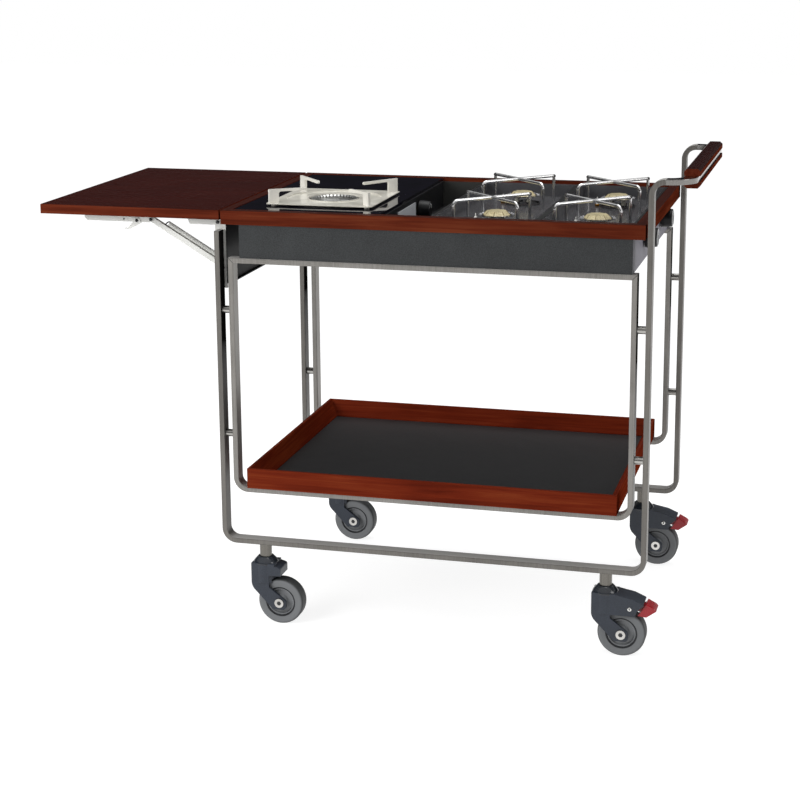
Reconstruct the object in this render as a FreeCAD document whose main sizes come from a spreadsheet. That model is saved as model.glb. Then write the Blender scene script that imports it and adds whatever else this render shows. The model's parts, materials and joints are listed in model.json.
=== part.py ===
import FreeCAD, Part
import math
import os
import Sketcher
from FreeCAD import Rotation, Vector

# Flambe trolley: a table on two bent flat-bar frames, with a gas hob, four small burners,
# a tray shelf, a drop leaf on folding brackets, a push handle and four casters.
# X runs along the table towards the handle, Y across it towards the back, Z up.
# The origin is the centre of the footprint on the floor.

doc = FreeCAD.newDocument("flambe_trolley")
dims = doc.addObject("Spreadsheet::Sheet", "dims")

DRIVING_DIMENSIONS = {
    # Table top
    "top_length": 884, "depth": 590, "top_height": 900, "top_thickness": 29.5, "top_rail_width": 20,
    "edge_round": 1.5, "cut_over": 2,
    # Drop leaf and its folding brackets
    "leaf_length": 404, "leaf_gap": 4, "leaf_thickness": 20.5,
    "hinge_drop": 10.2, "hinge_offset": 18, "bracket_inset": 42, "bracket_sheet": 2,
    "bracket_width": 21, "bracket_play": 0.5, "post_lip": 6.2, "post_head": 6, "post_length": 146,
    "arm_length": 304, "arm_tail": 6.5, "arm_skirt": 6.4, "arm_gap_start": 70, "arm_gap_end": 148,
    "strut_reach": 152, "strut_drop": 96.4, "strut_shift": 10, "strut_height": 10.6, "strut_width": 10,
    "strut_flat": 0.1, "strut_solid_end": 12, "bracket_pin_radius": 3, "running_play": 0.05,
    "lever_distance": 183, "lever_drop": 3, "lever_pin_radius": 2.5, "lever_play": 0.3,
    "lever_length": 27, "lever_hang": 17, "lever_eye": 5,
    # Bent flat-bar frames
    "bar_width": 10.7, "bar_depth": 27, "bend_radius": 21, "leg_gap": 4.5, "leg_head": 15,
    "outer_rail_height": 175, "inner_rail_height": 291.5,
    "spacer_length": 18.6, "spacer_diameter": 16, "spacer_rise": 115, "spacer_fall": 113,
    # Handle
    "handle_overhang": 97, "handle_rise": 85.3, "handle_straight": 1,
    "grip_width": 32, "grip_height": 14, "grip_chamfer": 5, "grip_margin": 7,
    # Tray shelf
    "tray_inset": 46, "tray_overhang": 5, "tray_height": 43, "tray_foot": 25, "tray_lip": 6,
    "tray_step": 8, "panel_thickness": 6,
    # Gas box under the top
    "box_left_inset": 39, "box_right_inset": 24, "box_face_inset": 2, "box_height": 70.5, "box_sheet": 1.5,
    "box_flange": 23, "end_plate_height": 131, "end_plate_sheet": 2, "end_plate_inset": 30,
    "end_plate_lip": 9, "end_plate_flange": 18,
    # Deck, well and burner trays
    "deck_sheet": 2, "deck_drop": 8, "well_left": 340, "well_width": 94, "well_depth": 57, "well_margin": 8,
    "burner_tray_first": 443, "burner_tray_end": 30, "burner_tray_share": 0.529, "burner_tray_divider": 12,
    "burner_tray_depth": 26, "burner_tray_margin": 6, "burner_tray_flange": 5, "tray_sheet": 1.5,
    # Hob
    "glass_thickness": 7, "glass_gap": 0.5, "glass_hole_radius": 62, "hob_centre_x": 187.5,
    "hob_centre_y": 197,
    "drip_plate_size": 232, "drip_plate_sheet": 2, "drip_plate_corner": 8, "drip_foot": 3.5,
    "drip_foot_radius": 6, "drip_foot_inset": 14, "dish_radius": 104, "dish_depth": 2.6,
    "dish_hole_radius": 55,
    "prong_leg": 23, "prong_height": 29, "prong_reach": 85, "prong_sheet": 5, "prong_arm": 6, "prong_fall": 2.5,
    "ring_radius": 52, "ring_wall": 8, "ring_height": 11, "ring_slope": 3, "ring_slot": 3,
    "cap_radius": 40, "cap_height": 4, "cap_slope": 6,
    # Small burners and their wire trivets
    "burner_shift": 5, "burner_offset_y": 140, "burner_dish_radius": 38, "burner_dish_height": 4,
    "burner_post_radius": 5.5, "burner_post_spread": 13, "burner_post_height": 18, "burner_plate_radius": 31,
    "burner_plate_height": 2, "burner_cap_radius": 29, "burner_cap_top": 21, "burner_cap_height": 8,
    "trivet_margin": 23.5, "trivet_height": 59, "trivet_rod": 7, "trivet_bend": 11, "trivet_tight_bend": 5,
    # Knobs and gas taps
    "knob_radius": 21, "knob_length": 25, "knob_taper": 2, "knob_gap": 3, "spindle_radius": 4,
    "spindle_length": 15, "neck_radius": 8, "tap_size": 24, "tap_length": 34,
    "end_knob_drop": 22.5, "end_knob_spread": 129, "hob_knob_drop": 39, "hob_knob_y": 334,
    "control_plate_sheet": 1.5, "control_plate_start": 155, "control_plate_length": 147,
    "control_plate_height": 42,
    # Casters
    "stem_left_inset": 78, "stem_right_inset": 68, "stem_radius": 13, "stem_shoulder": 143,
    "pin_radius": 8, "pin_bottom": 108, "seat_gap": 0.3,
    "wheel_radius": 50, "wheel_trail": 36, "tyre_width": 34, "tyre_round": 6, "tyre_bead": 1.5,
    "rim_radius": 31.5, "hub_width": 32, "rim_width": 27, "rim_wall": 4, "rim_slope": 2,
    "hub_boss_radius": 13, "hub_slope": 3, "hub_web": 9, "hub_bore_radius": 6,
    "fork_width": 48, "fork_slot": 36, "fork_clearance": 3, "head_radius": 26, "head_bottom": 92,
    "head_top": 136, "cap_top_radius": 17, "fork_nose": 84, "fork_foot": 15, "fork_waist": 13,
    "hood_bottom": 91, "brake_hood": 84, "hood_lip": 20, "hood_slope": 14, "hood_tip_drop": 18,
    "hood_back": 26, "hood_back_drop": 7, "hood_step": 1, "plain_hood": 40, "plain_hood_drop": 8,
    "plain_hood_step": 4, "plain_hood_height": 18,
    "bolt_head_radius": 10, "bolt_head_height": 3,
    "pedal_pin_radius": 3, "pedal_pin_x": 53, "pedal_pin_height": 106.5, "pedal_width": 38, "pedal_shank": 26,
    "pedal_reach": 107, "pedal_slot": 28, "shank_end": 22, "tread_root": 38, "tread_heel": 20,
    "tread_nose": 4, "tread_back": 20.5, "tread_low": 16.5, "tread_under": 14.5, "tread_lip": 2,
    "tread_lift": 2.5, "tread_high": 11,
}
RING_SLOTS = 36
CAP_SIDES = 8

for row, (alias, number) in enumerate(DRIVING_DIMENSIONS.items(), start=1):
    dims.set(f"A{row}", str(number))
    dims.setAlias(f"A{row}", alias)
doc.recompute()

# Places that several pieces share, as expressions on the driving dimensions
HALF_DEPTH = "dims.depth / 2"
X_LEFT = "(dims.leaf_length + dims.leaf_gap - dims.top_length - dims.handle_overhang) / 2"
X_RIGHT = f"({X_LEFT} + dims.top_length)"
OUTER_LEFT = f"({X_LEFT} - dims.leg_gap - dims.bar_width)"
OUTER_RIGHT = f"({X_RIGHT} + dims.leg_gap + dims.bar_width)"
INNER_LEFT = f"({OUTER_LEFT} + dims.bar_width + dims.spacer_length)"
INNER_RIGHT = f"({OUTER_RIGHT} - dims.bar_width - dims.spacer_length)"
BAR_Y = f"({HALF_DEPTH} - dims.bar_depth / 2)"
OUTER_BEND = "(dims.bend_radius + dims.bar_width)"
GRIP_X = f"({X_RIGHT} + dims.handle_overhang - dims.grip_width / 2)"
HANDLE_START = f"({OUTER_RIGHT} + dims.bend_radius + dims.handle_straight)"
HANDLE_TURN = f"({GRIP_X} - dims.bar_depth / 2 - {HANDLE_START} - dims.handle_straight)"
HANDLE_Z = "(dims.top_height + dims.handle_rise)"
TOP_UNDERSIDE = "(dims.top_height - dims.top_thickness)"
BOX_BOTTOM = f"({TOP_UNDERSIDE} - dims.box_height)"
LEG_TOP = f"({TOP_UNDERSIDE} - dims.leg_head)"
LEAF_UNDERSIDE = "(dims.top_height - dims.leaf_thickness)"
HINGE_X = f"({X_LEFT} - dims.hinge_offset)"
HINGE_Z = f"({LEAF_UNDERSIDE} - dims.hinge_drop)"
BRACKET_Y = f"({HALF_DEPTH} - dims.bracket_inset)"
ARM_WIDTH = "(dims.bracket_width - 2 * dims.bracket_sheet - 2 * dims.bracket_play)"
STRUT_RUN = "(dims.strut_reach + dims.strut_shift)"
STRUT_LENGTH = f"sqrt({STRUT_RUN} ^ 2 + dims.strut_drop ^ 2)"
SHELF_Z = "(dims.inner_rail_height + dims.bar_width)"
SPACER_LOW = f"({SHELF_Z} + dims.spacer_rise)"
SPACER_HIGH = f"({BOX_BOTTOM} - dims.spacer_fall)"
BOX_LEFT = f"({X_LEFT} + dims.box_left_inset)"
BOX_RIGHT = f"({X_RIGHT} - dims.box_right_inset)"
BOX_DEPTH = "(dims.depth - 2 * dims.box_face_inset)"
DECK_TOP = "(dims.top_height - dims.deck_drop)"
OPENING_LEFT = f"({X_LEFT} + dims.top_rail_width)"
OPENING_LENGTH = "(dims.top_length - 2 * dims.top_rail_width)"
OPENING_DEPTH = "(dims.depth - 2 * dims.top_rail_width)"
WELL_LEFT = f"({X_LEFT} + dims.well_left)"
GLASS_TOP = f"({DECK_TOP} + dims.glass_thickness)"
HOB_X = f"({X_LEFT} + dims.hob_centre_x)"
HOB_Y = f"(dims.hob_centre_y - {HALF_DEPTH})"
PLATE_TOP = f"({GLASS_TOP} + dims.drip_foot + dims.drip_plate_sheet)"
PAN_FLOOR = f"({DECK_TOP} - dims.burner_tray_depth)"
END_KNOB_Z = f"({TOP_UNDERSIDE} - dims.end_knob_drop)"
HOB_KNOB_Z = "(dims.top_height - dims.hob_knob_drop)"
HOB_KNOB_Y = f"(dims.hob_knob_y - {HALF_DEPTH})"

LAID_ALONG_X = Rotation(Vector(0, 1, 0), 90)
LAID_ALONG_Y = Rotation(Vector(1, 0, 0), -90)
UPSIDE_DOWN = Rotation(Vector(0, 1, 0), 180)
NO_TURN = Rotation()
nodes = []


def value(text):
    return float(dims.evalExpression(text))


def bind(thing, **expressions):
    for name, text in expressions.items():
        thing.setExpression(name, text)


def place(thing, x, y, z, turn=NO_TURN):
    thing.Placement = FreeCAD.Placement(Vector(), turn)
    for axis, text in zip("xyz", (x, y, z)):
        thing.setExpression(f"Placement.Base.{axis}", text)
    return thing


def node(thing, label):
    thing.Label = label
    nodes.append(thing)
    return thing


def box(name, length, width, height, x, y, z):
    thing = doc.addObject("Part::Box", name)
    bind(thing, Length=length, Width=width, Height=height)
    return place(thing, x, y, z)


def centred_box(name, length, width, height, x, z):
    return box(name, length, width, height, x, f"-({width}) / 2", z)


def cylinder(name, radius, height, x, y, z, turn=NO_TURN):
    thing = doc.addObject("Part::Cylinder", name)
    bind(thing, Radius=radius, Height=height)
    return place(thing, x, y, z, turn)


def cut(name, base, *tools):
    for number, tool in enumerate(tools, start=1):
        result = doc.addObject("Part::Cut", f"{name}_cut_{number}")
        result.Base = base
        result.Tool = tool
        base = result
    return base


def fuse(name, *pieces):
    result = doc.addObject("Part::MultiFuse", f"{name}_fuse")
    result.Shapes = list(pieces)
    return result


def compound(label, pieces):
    result = doc.addObject("Part::Compound", label)
    result.Links = list(pieces)
    return node(result, label)


def body(name):
    return doc.addObject("PartDesign::Body", name)


def sketch(owner, name, plane):
    result = owner.newObject("Sketcher::SketchObject", name)
    face = [item for item in owner.Origin.OriginFeatures if item.Role == f"{plane}_Plane"][0]
    result.AttachmentSupport = [(face, "")]
    result.MapMode = "FlatFace"
    return result


def fix(drawing, kind, geometry, point, size, text):
    number = drawing.addConstraint(Sketcher.Constraint(kind, -1, 1, geometry, point, size))
    drawing.setExpression(f"Constraints[{number}]", text)


def fix_radius(drawing, geometry, text):
    number = drawing.addConstraint(Sketcher.Constraint("Radius", geometry, value(text)))
    drawing.setExpression(f"Constraints[{number}]", text)


def circle(drawing, x, y, radius):
    centre = Vector(value(x), value(y), 0)
    ring = drawing.addGeometry(Part.Circle(centre, Vector(0, 0, 1), value(radius)))
    fix(drawing, "DistanceX", ring, 3, centre.x, x)
    fix(drawing, "DistanceY", ring, 3, centre.y, y)
    fix_radius(drawing, ring, radius)


def corner_arc(spot, to_last, to_next, radius):
    """The arc that rounds a corner, its two ends, and whether the outline turns left there."""
    half = to_last.getAngle(to_next) / 2
    first = spot + to_last * (radius / math.tan(half))
    last = spot + to_next * (radius / math.tan(half))
    centre = spot + (to_last + to_next).normalize() * (radius / math.sin(half))
    left = to_last.cross(to_next).z < 0
    begin, end = (first, last) if left else (last, first)
    angles = [math.atan2(p.y - centre.y, p.x - centre.x) for p in (begin, end)]
    arc = Part.ArcOfCircle(Part.Circle(centre, Vector(0, 0, 1), radius), *angles)
    return arc, first, last, left


def outline(drawing, corners, closed=True):
    """Draw straight runs through the corners (x, y) or (x, y, rounding), all bound to the sheet."""
    spots = [Vector(value(corner[0]), value(corner[1]), 0) for corner in corners]
    count = len(spots)
    arrive, leave, arcs = list(spots), list(spots), {}
    for i, corner in enumerate(corners):
        if len(corner) == 3:
            to_last = (spots[i - 1] - spots[i]).normalize()
            to_next = (spots[(i + 1) % count] - spots[i]).normalize()
            arc, arrive[i], leave[i], left = corner_arc(spots[i], to_last, to_next, value(corner[2]))
            arcs[i] = (arc, left)
    runs = count if closed else count - 1
    lines = [drawing.addGeometry(Part.LineSegment(leave[i], arrive[(i + 1) % count])) for i in range(runs)]
    for i, corner in enumerate(corners):
        first_end = not closed and i == 0
        last_end = not closed and i == count - 1
        if i in arcs:
            arc, left = arcs[i]
            bend = drawing.addGeometry(arc)
            tip = drawing.addGeometry(Part.Point(spots[i]), True)
            before, after = lines[i - 1], lines[i]
            drawing.addConstraint(Sketcher.Constraint("Tangent", before, 2, bend, 1 if left else 2))
            drawing.addConstraint(Sketcher.Constraint("Tangent", bend, 2 if left else 1, after, 1))
            drawing.addConstraint(Sketcher.Constraint("PointOnObject", tip, 1, before))
            drawing.addConstraint(Sketcher.Constraint("PointOnObject", tip, 1, after))
            fix_radius(drawing, bend, corner[2])
            anchor, end = tip, 1
        elif last_end:
            anchor, end = lines[-1], 2
        else:
            anchor, end = lines[i], 1
            if not first_end:
                drawing.addConstraint(Sketcher.Constraint("Coincident", lines[i - 1], 2, lines[i], 1))
        fix(drawing, "DistanceX", anchor, end, spots[i].x, corner[0])
        fix(drawing, "DistanceY", anchor, end, spots[i].y, corner[1])


def feature(owner, kind, name, drawing, length=None):
    """A pad or pocket to both sides of its sketch, or a full turn about the sketch's vertical axis."""
    result = owner.newObject(f"PartDesign::{kind}", name)
    result.Profile = drawing
    if kind in ("Pad", "Pocket"):
        result.Midplane = True
        if length is None:
            result.Type = "ThroughAll"
        else:
            result.setExpression("Length", length)
    else:
        result.ReferenceAxis = (drawing, ["V_Axis"])
        result.Angle = 360
    doc.recompute()
    return result


def padded(name, plane, length, *outlines):
    owner = body(name)
    drawing = sketch(owner, f"{name}_outline", plane)
    for corners in outlines:
        outline(drawing, corners)
    feature(owner, "Pad", f"{name}_pad", drawing, length)
    return owner


def turned(name, *outlines):
    """A body of revolution about its own Z, drawn as (radius, height)."""
    owner = body(name)
    drawing = sketch(owner, f"{name}_section", "XZ")
    for corners in outlines:
        outline(drawing, corners)
    feature(owner, "Revolution", f"{name}_turn", drawing)
    return owner


def pocket_circle(owner, name, plane, x, y, radius, length=None):
    drawing = sketch(owner, f"{name}_outline", plane)
    circle(drawing, x, y, radius)
    return feature(owner, "Pocket", name, drawing, length)


def pocket_outline(owner, name, plane, corners, length=None):
    drawing = sketch(owner, f"{name}_outline", plane)
    outline(drawing, corners)
    return feature(owner, "Pocket", name, drawing, length)


def round_edges(owner, name, radius, wanted):
    """Round the edges of the body's last feature whose middle point satisfies wanted(point, edge)."""
    tip = owner.Tip
    names = []
    for number, edge in enumerate(tip.Shape.Edges, start=1):
        if wanted(edge.CenterOfMass, edge):
            names.append(f"Edge{number}")
    result = owner.newObject("PartDesign::Fillet", name)
    result.Base = (tip, names)
    result.setExpression("Radius", radius)
    doc.recompute()
    return result


def rectangle(x0, y0, x1, y1):
    return [(x0, y0), (x1, y0), (x1, y1), (x0, y1)]


def front_and_rear():
    return (("front", "-"), ("rear", ""))


# Frames


def outer_frame(side, sign):
    handle_low = f"{HANDLE_Z} - dims.bar_width / 2"
    handle_high = f"{HANDLE_Z} + dims.bar_width / 2"
    rail_top = "dims.outer_rail_height + dims.bar_width"
    corners = [
        (OUTER_LEFT, LEG_TOP), (OUTER_LEFT, "dims.outer_rail_height", OUTER_BEND),
        (OUTER_RIGHT, "dims.outer_rail_height", OUTER_BEND), (OUTER_RIGHT, handle_low, "dims.bend_radius"),
        (HANDLE_START, handle_low), (HANDLE_START, handle_high),
        (f"{OUTER_RIGHT} - dims.bar_width", handle_high, OUTER_BEND),
        (f"{OUTER_RIGHT} - dims.bar_width", rail_top, "dims.bend_radius"),
        (f"{OUTER_LEFT} + dims.bar_width", rail_top, "dims.bend_radius"),
        (f"{OUTER_LEFT} + dims.bar_width", LEG_TOP)]
    frame = padded(f"{side}_outer_frame", "XZ", "dims.bar_depth", corners)
    node(place(frame, "0", f"{sign}{BAR_Y}", "0"), f"{side}_outer_frame")


def inner_loop(side, sign):
    low, high = "dims.inner_rail_height", BOX_BOTTOM
    outside = [(INNER_LEFT, low, OUTER_BEND), (INNER_RIGHT, low, OUTER_BEND),
               (INNER_RIGHT, high), (INNER_LEFT, high)]
    left, right = f"{INNER_LEFT} + dims.bar_width", f"{INNER_RIGHT} - dims.bar_width"
    bottom, top = f"{low} + dims.bar_width", f"{high} - dims.bar_width"
    inside = [(left, bottom, "dims.bend_radius"), (right, bottom, "dims.bend_radius"),
              (right, top), (left, top)]
    loop = padded(f"{side}_inner_loop", "XZ", "dims.bar_depth", outside, inside)
    node(place(loop, "0", f"{sign}{BAR_Y}", "0"), f"{side}_inner_loop")


def handle_bar():
    outside, inside = HALF_DEPTH, f"({HALF_DEPTH} - dims.bar_depth)"
    right, left = f"{GRIP_X} + dims.bar_depth / 2", f"{GRIP_X} - dims.bar_depth / 2"
    wide_turn = f"({HANDLE_TURN} + dims.bar_depth)"
    corners = [
        (HANDLE_START, f"-{outside}"), (right, f"-{outside}", wide_turn), (right, outside, wide_turn),
        (HANDLE_START, outside), (HANDLE_START, inside), (left, inside, HANDLE_TURN),
        (left, f"-{inside}", HANDLE_TURN), (HANDLE_START, f"-{inside}")]
    bar = padded("handle_bar", "XY", "dims.bar_width", corners)
    node(place(bar, "0", "0", HANDLE_Z), "handle_bar")


def grip(label, sign, turn):
    wide, tall, slope = "dims.grip_width / 2", "dims.grip_height", "dims.grip_chamfer"
    corners = [
        (f"-{wide}", "0"), (wide, "0"), (wide, f"{tall} - {slope}"), (f"{wide} - {slope}", tall),
        (f"{slope} - {wide}", tall), (f"-{wide}", f"{tall} - {slope}")]
    length = f"dims.depth - 2 * (dims.bar_depth + {HANDLE_TURN} + dims.grip_margin)"
    half = padded(label, "XZ", length, corners)
    node(place(half, GRIP_X, "0", f"{HANDLE_Z} {sign} dims.bar_width / 2", turn), label)


def frame_spacers():
    pins = []
    for side, sign in front_and_rear():
        for end, x in (("left", f"{OUTER_LEFT} + dims.bar_width"), ("right", INNER_RIGHT)):
            for level, z in (("low", SPACER_LOW), ("high", SPACER_HIGH)):
                name = f"spacer_{side}_{end}_{level}"
                pins.append(cylinder(name, "dims.spacer_diameter / 2", "dims.spacer_length",
                                     x, f"{sign}{BAR_Y}", z, LAID_ALONG_X))
    compound("frame_spacers", pins)


# Table top, leaf and shelf


def top_rails():
    thick, wide = "dims.top_thickness", "dims.top_rail_width"
    pairs = {"top_long_rails": ("dims.top_length", (0, 180), "0", f"-{HALF_DEPTH}"),
             "top_end_rails": ("dims.depth", (90, -90), "dims.top_length / 2", "0")}
    for label, (length, turns, along, across) in pairs.items():
        rails = []
        for number, (angle, sign) in enumerate(zip(turns, ("", "-")), start=1):
            half = f"({length}) / 2"
            corners = [(f"-{half}", "0"), (half, "0"), (f"{half} - {wide}", wide), (f"{wide} - {half}", wide)]
            rail = padded(f"{label}_{number}", "XY", thick, corners)
            round_edges(rail, f"{label}_{number}_edge", "dims.edge_round", outer_top_edge)
            x = f"{X_LEFT} + dims.top_length / 2 + {sign}({along})"
            turn = Rotation(Vector(0, 0, 1), angle)
            place(rail, x, f"{sign}({across})", f"dims.top_height - {thick} / 2", turn)
            rails.append(rail)
        compound(label, rails)


def outer_top_edge(point, edge):
    return abs(point.y) < 0.01 and point.z > 0.01 and abs(point.x) < 0.01


def leaf_top():
    half_length, half_depth = "dims.leaf_length / 2", HALF_DEPTH
    leaf = padded("leaf_top", "XY", "dims.leaf_thickness",
                  rectangle(f"-{half_length}", f"-{half_depth}", half_length, half_depth))
    round_edges(leaf, "leaf_top_edge", "dims.edge_round", lambda point, edge: point.z > 0.01)
    x = f"{X_LEFT} - dims.leaf_gap - {half_length}"
    node(place(leaf, x, "0", "dims.top_height - dims.leaf_thickness / 2"), "leaf_top")


def tray():
    length = "(dims.top_length - 2 * dims.tray_inset)"
    depth = "(dims.depth + 2 * dims.tray_overhang)"
    section = [("0", "0"), ("dims.tray_foot", "0"), ("dims.tray_foot", "dims.tray_step"),
               ("dims.tray_lip", "dims.tray_height"), ("0", "dims.tray_height")]
    middle = f"{X_LEFT} + dims.top_length / 2"
    sides = {"front": (length, 0, "0", f"-{depth} / 2"), "rear": (length, 180, "0", f"{depth} / 2"),
             "left": (depth, -90, f"-{length} / 2", "0"), "right": (depth, 90, f"{length} / 2", "0")}
    rails = []
    for side, (run, angle, x, y) in sides.items():
        name = f"tray_rail_{side}"
        rail = padded(name, "YZ", run, section)
        half, foot = f"{run} / 2", "dims.tray_foot"
        for hand, sign in (("left", "-"), ("right", "")):
            mitre = [(f"{sign}{half}", "0"), (f"{sign}({half} - {foot})", foot), (f"{sign}{half}", foot)]
            pocket_outline(rail, f"{name}_{hand}_mitre", "XY", mitre)
        rails.append(place(rail, f"{middle} + {x}", y, SHELF_Z, Rotation(Vector(0, 0, 1), angle)))
    compound("tray_rails", rails)
    inner_length, inner_depth = f"({length} - 2 * dims.tray_foot)", f"({depth} - 2 * dims.tray_foot)"
    panel = centred_box("tray_panel", inner_length, inner_depth, "dims.panel_thickness",
                        f"{middle} - {inner_length} / 2", SHELF_Z)
    node(panel, "tray_panel")


# Folding brackets, drawn about the leaf's hinge pin


def bracket_post(side, sign):
    name = f"bracket_post_{side}"
    outer, inner = "dims.bracket_width / 2", "(dims.bracket_width / 2 - dims.bracket_sheet)"
    back, web = "dims.hinge_offset", "(dims.hinge_offset - dims.bracket_sheet)"
    lip = "dims.post_lip"
    channel = [(f"-{lip}", f"-{outer}"), (back, f"-{outer}"), (back, outer), (f"-{lip}", outer),
               (f"-{lip}", inner), (web, inner), (web, f"-{inner}"), (f"-{lip}", f"-{inner}")]
    post = body(name)
    drawing = sketch(post, f"{name}_channel", "XY")
    outline(drawing, channel)
    drawing.setExpression("AttachmentOffset.Base.z", "dims.post_head - dims.post_length / 2")
    feature(post, "Pad", f"{name}_pad", drawing, "dims.post_length")
    pins = sketch(post, f"{name}_pins", "XZ")
    circle(pins, "0", "0", "dims.bracket_pin_radius")
    circle(pins, "dims.strut_shift", "-dims.strut_drop", "dims.bracket_pin_radius")
    feature(post, "Pad", f"{name}_pin_pad", pins, "dims.bracket_width + dims.bracket_sheet")
    return place(post, HINGE_X, f"{sign}{BRACKET_Y}", HINGE_Z)


def bracket_arm(side, sign):
    name = f"bracket_arm_{side}"
    top, web = "dims.hinge_drop", "(dims.hinge_drop - dims.bracket_sheet)"
    skirt, far, slope = "-dims.arm_skirt", "-dims.arm_length", "dims.arm_skirt"
    corners = [
        ("dims.arm_tail", top), (far, top), (far, "0"), (f"{far} + {slope}", skirt),
        (f"-dims.arm_gap_end - {slope}", skirt), ("-dims.arm_gap_end", web), ("-dims.arm_gap_start", web),
        (f"-dims.arm_gap_start + {slope}", skirt), ("dims.arm_tail", skirt, "dims.bracket_sheet")]
    arm = padded(name, "XZ", ARM_WIDTH, corners)
    over = "dims.cut_over"
    hollow = rectangle(f"{far} - {over}", f"{skirt} - {over}", f"dims.arm_tail + {over}", web)
    pocket_outline(arm, f"{name}_hollow", "XZ", hollow, f"{ARM_WIDTH} - 2 * dims.bracket_sheet")
    pocket_circle(arm, f"{name}_hinge", "XZ", "0", "0", "dims.bracket_pin_radius + dims.running_play")
    place(arm, HINGE_X, f"{sign}{BRACKET_Y}", HINGE_Z)
    stub_length = "(2 * dims.bracket_sheet + 2 * dims.lever_play)"
    start = f"({ARM_WIDTH} / 2 - dims.bracket_sheet / 2)"
    y = f"-{BRACKET_Y} - {start} - {stub_length}" if sign else f"{BRACKET_Y} + {start}"
    stub = cylinder(f"{name}_stub", "dims.lever_pin_radius", stub_length,
                    f"{HINGE_X} - dims.lever_distance", y, f"{HINGE_Z} - dims.lever_drop", LAID_ALONG_Y)
    return fuse(name, arm, stub)


def bracket_lever(side, sign):
    label = f"bracket_lever_{side}"
    tail, hang = "dims.lever_length", "dims.lever_hang"
    thin, eye, soft = "dims.bracket_sheet", "dims.lever_eye", "dims.lever_pin_radius"
    corners = [
        (f"2 * {eye}", f"-{eye}"), (eye, eye, soft), (f"-2 * {eye}", eye, soft),
        (f"-2 * {eye}", f"-{eye}"), (f"-{tail} + {eye}", f"-{hang}"), (f"-{tail}", f"-{hang}"),
        (f"-{tail}", f"-{hang} - {thin}"), (f"-{tail} + 2 * {eye}", f"-{hang} - {thin}")]
    lever = padded(label, "XZ", thin, corners)
    pocket_circle(lever, f"{label}_eye", "XZ", "0", "0", "dims.lever_pin_radius + dims.running_play")
    y = f"{sign}({BRACKET_Y} + {ARM_WIDTH} / 2 + dims.lever_play + {thin} / 2)"
    node(place(lever, f"{HINGE_X} - dims.lever_distance", y, f"{HINGE_Z} - dims.lever_drop"), label)


def bracket_strut(side, sign):
    name = f"bracket_strut_{side}"
    half, end = "dims.strut_height / 2", "dims.strut_solid_end"
    soft = f"{half} - dims.strut_flat"
    near, far = half, f"-{STRUT_LENGTH} - {half}"
    corners = [(near, f"-{half}", soft), (near, half, soft), (far, half, soft), (far, f"-{half}", soft)]
    strut = padded(name, "XZ", "dims.strut_width", corners)
    hollow = rectangle(f"-{STRUT_LENGTH} + {end}", f"-{half} - dims.cut_over",
                       f"-{end}", f"{half} - dims.bracket_sheet")
    pocket_outline(strut, f"{name}_hollow", "XZ", hollow, "dims.strut_width - 2 * dims.bracket_sheet")
    pocket_circle(strut, f"{name}_eye", "XZ", "0", "0", "dims.bracket_pin_radius + dims.running_play")
    tilt = Rotation(Vector(0, 1, 0), 1)
    place(strut, f"{HINGE_X} + dims.strut_shift", f"{sign}{BRACKET_Y}", f"{HINGE_Z} - dims.strut_drop", tilt)
    strut.setExpression("Placement.Rotation.Angle", f"atan(dims.strut_drop / {STRUT_RUN})")
    return strut


def brackets():
    compound("bracket_posts", [bracket_post(side, sign) for side, sign in front_and_rear()])
    compound("bracket_arms", [bracket_arm(side, sign) for side, sign in front_and_rear()])
    compound("bracket_struts", [bracket_strut(side, sign) for side, sign in front_and_rear()])
    for side, sign in front_and_rear():
        bracket_lever(side, sign)


# Gas box, end plate and deck


def gas_box():
    sheet, length = "dims.box_sheet", f"({BOX_RIGHT} - {BOX_LEFT})"
    low, tall = BOX_BOTTOM, "dims.box_height"
    outside = centred_box("gas_box_outside", length, BOX_DEPTH, tall, BOX_LEFT, low)
    cavity = centred_box("gas_box_cavity", f"{length} - 2 * {sheet}", f"{BOX_DEPTH} - 2 * {sheet}",
                         f"{tall} - 2 * {sheet}", f"{BOX_LEFT} + {sheet}", f"{low} + {sheet}")
    lip = "dims.box_flange"
    mouth = centred_box("gas_box_mouth", f"{length} - {lip} - {sheet}", f"{BOX_DEPTH} - 2 * {lip}", tall,
                        f"{BOX_LEFT} + {lip}", f"{low} + {tall} / 2")
    holes = []
    for side, sign in front_and_rear():
        holes.append(cylinder(f"tap_hole_{side}", "dims.neck_radius", f"3 * {sheet}",
                              f"{BOX_RIGHT} - 2 * {sheet}", f"{sign}dims.end_knob_spread", END_KNOB_Z,
                              LAID_ALONG_X))
    node(cut("gas_box", outside, cavity, mouth, *holes), "gas_box")


def end_plate():
    sheet, lip, flange = "dims.end_plate_sheet", "dims.end_plate_lip", "dims.end_plate_flange"
    high, low = TOP_UNDERSIDE, f"{TOP_UNDERSIDE} - dims.end_plate_height"
    left = X_LEFT
    corners = [
        (left, low), (f"{left} + {lip}", low), (f"{left} + {lip}", f"{low} + {sheet}"),
        (f"{left} + {sheet}", f"{low} + {sheet}"), (f"{left} + {sheet}", f"{high} - {sheet}"),
        (f"{left} + {flange}", f"{high} - {sheet}"), (f"{left} + {flange}", high), (left, high)]
    plate = padded("end_plate", "XZ", "dims.depth - 2 * dims.end_plate_inset", corners)
    node(plate, "end_plate")


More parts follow.
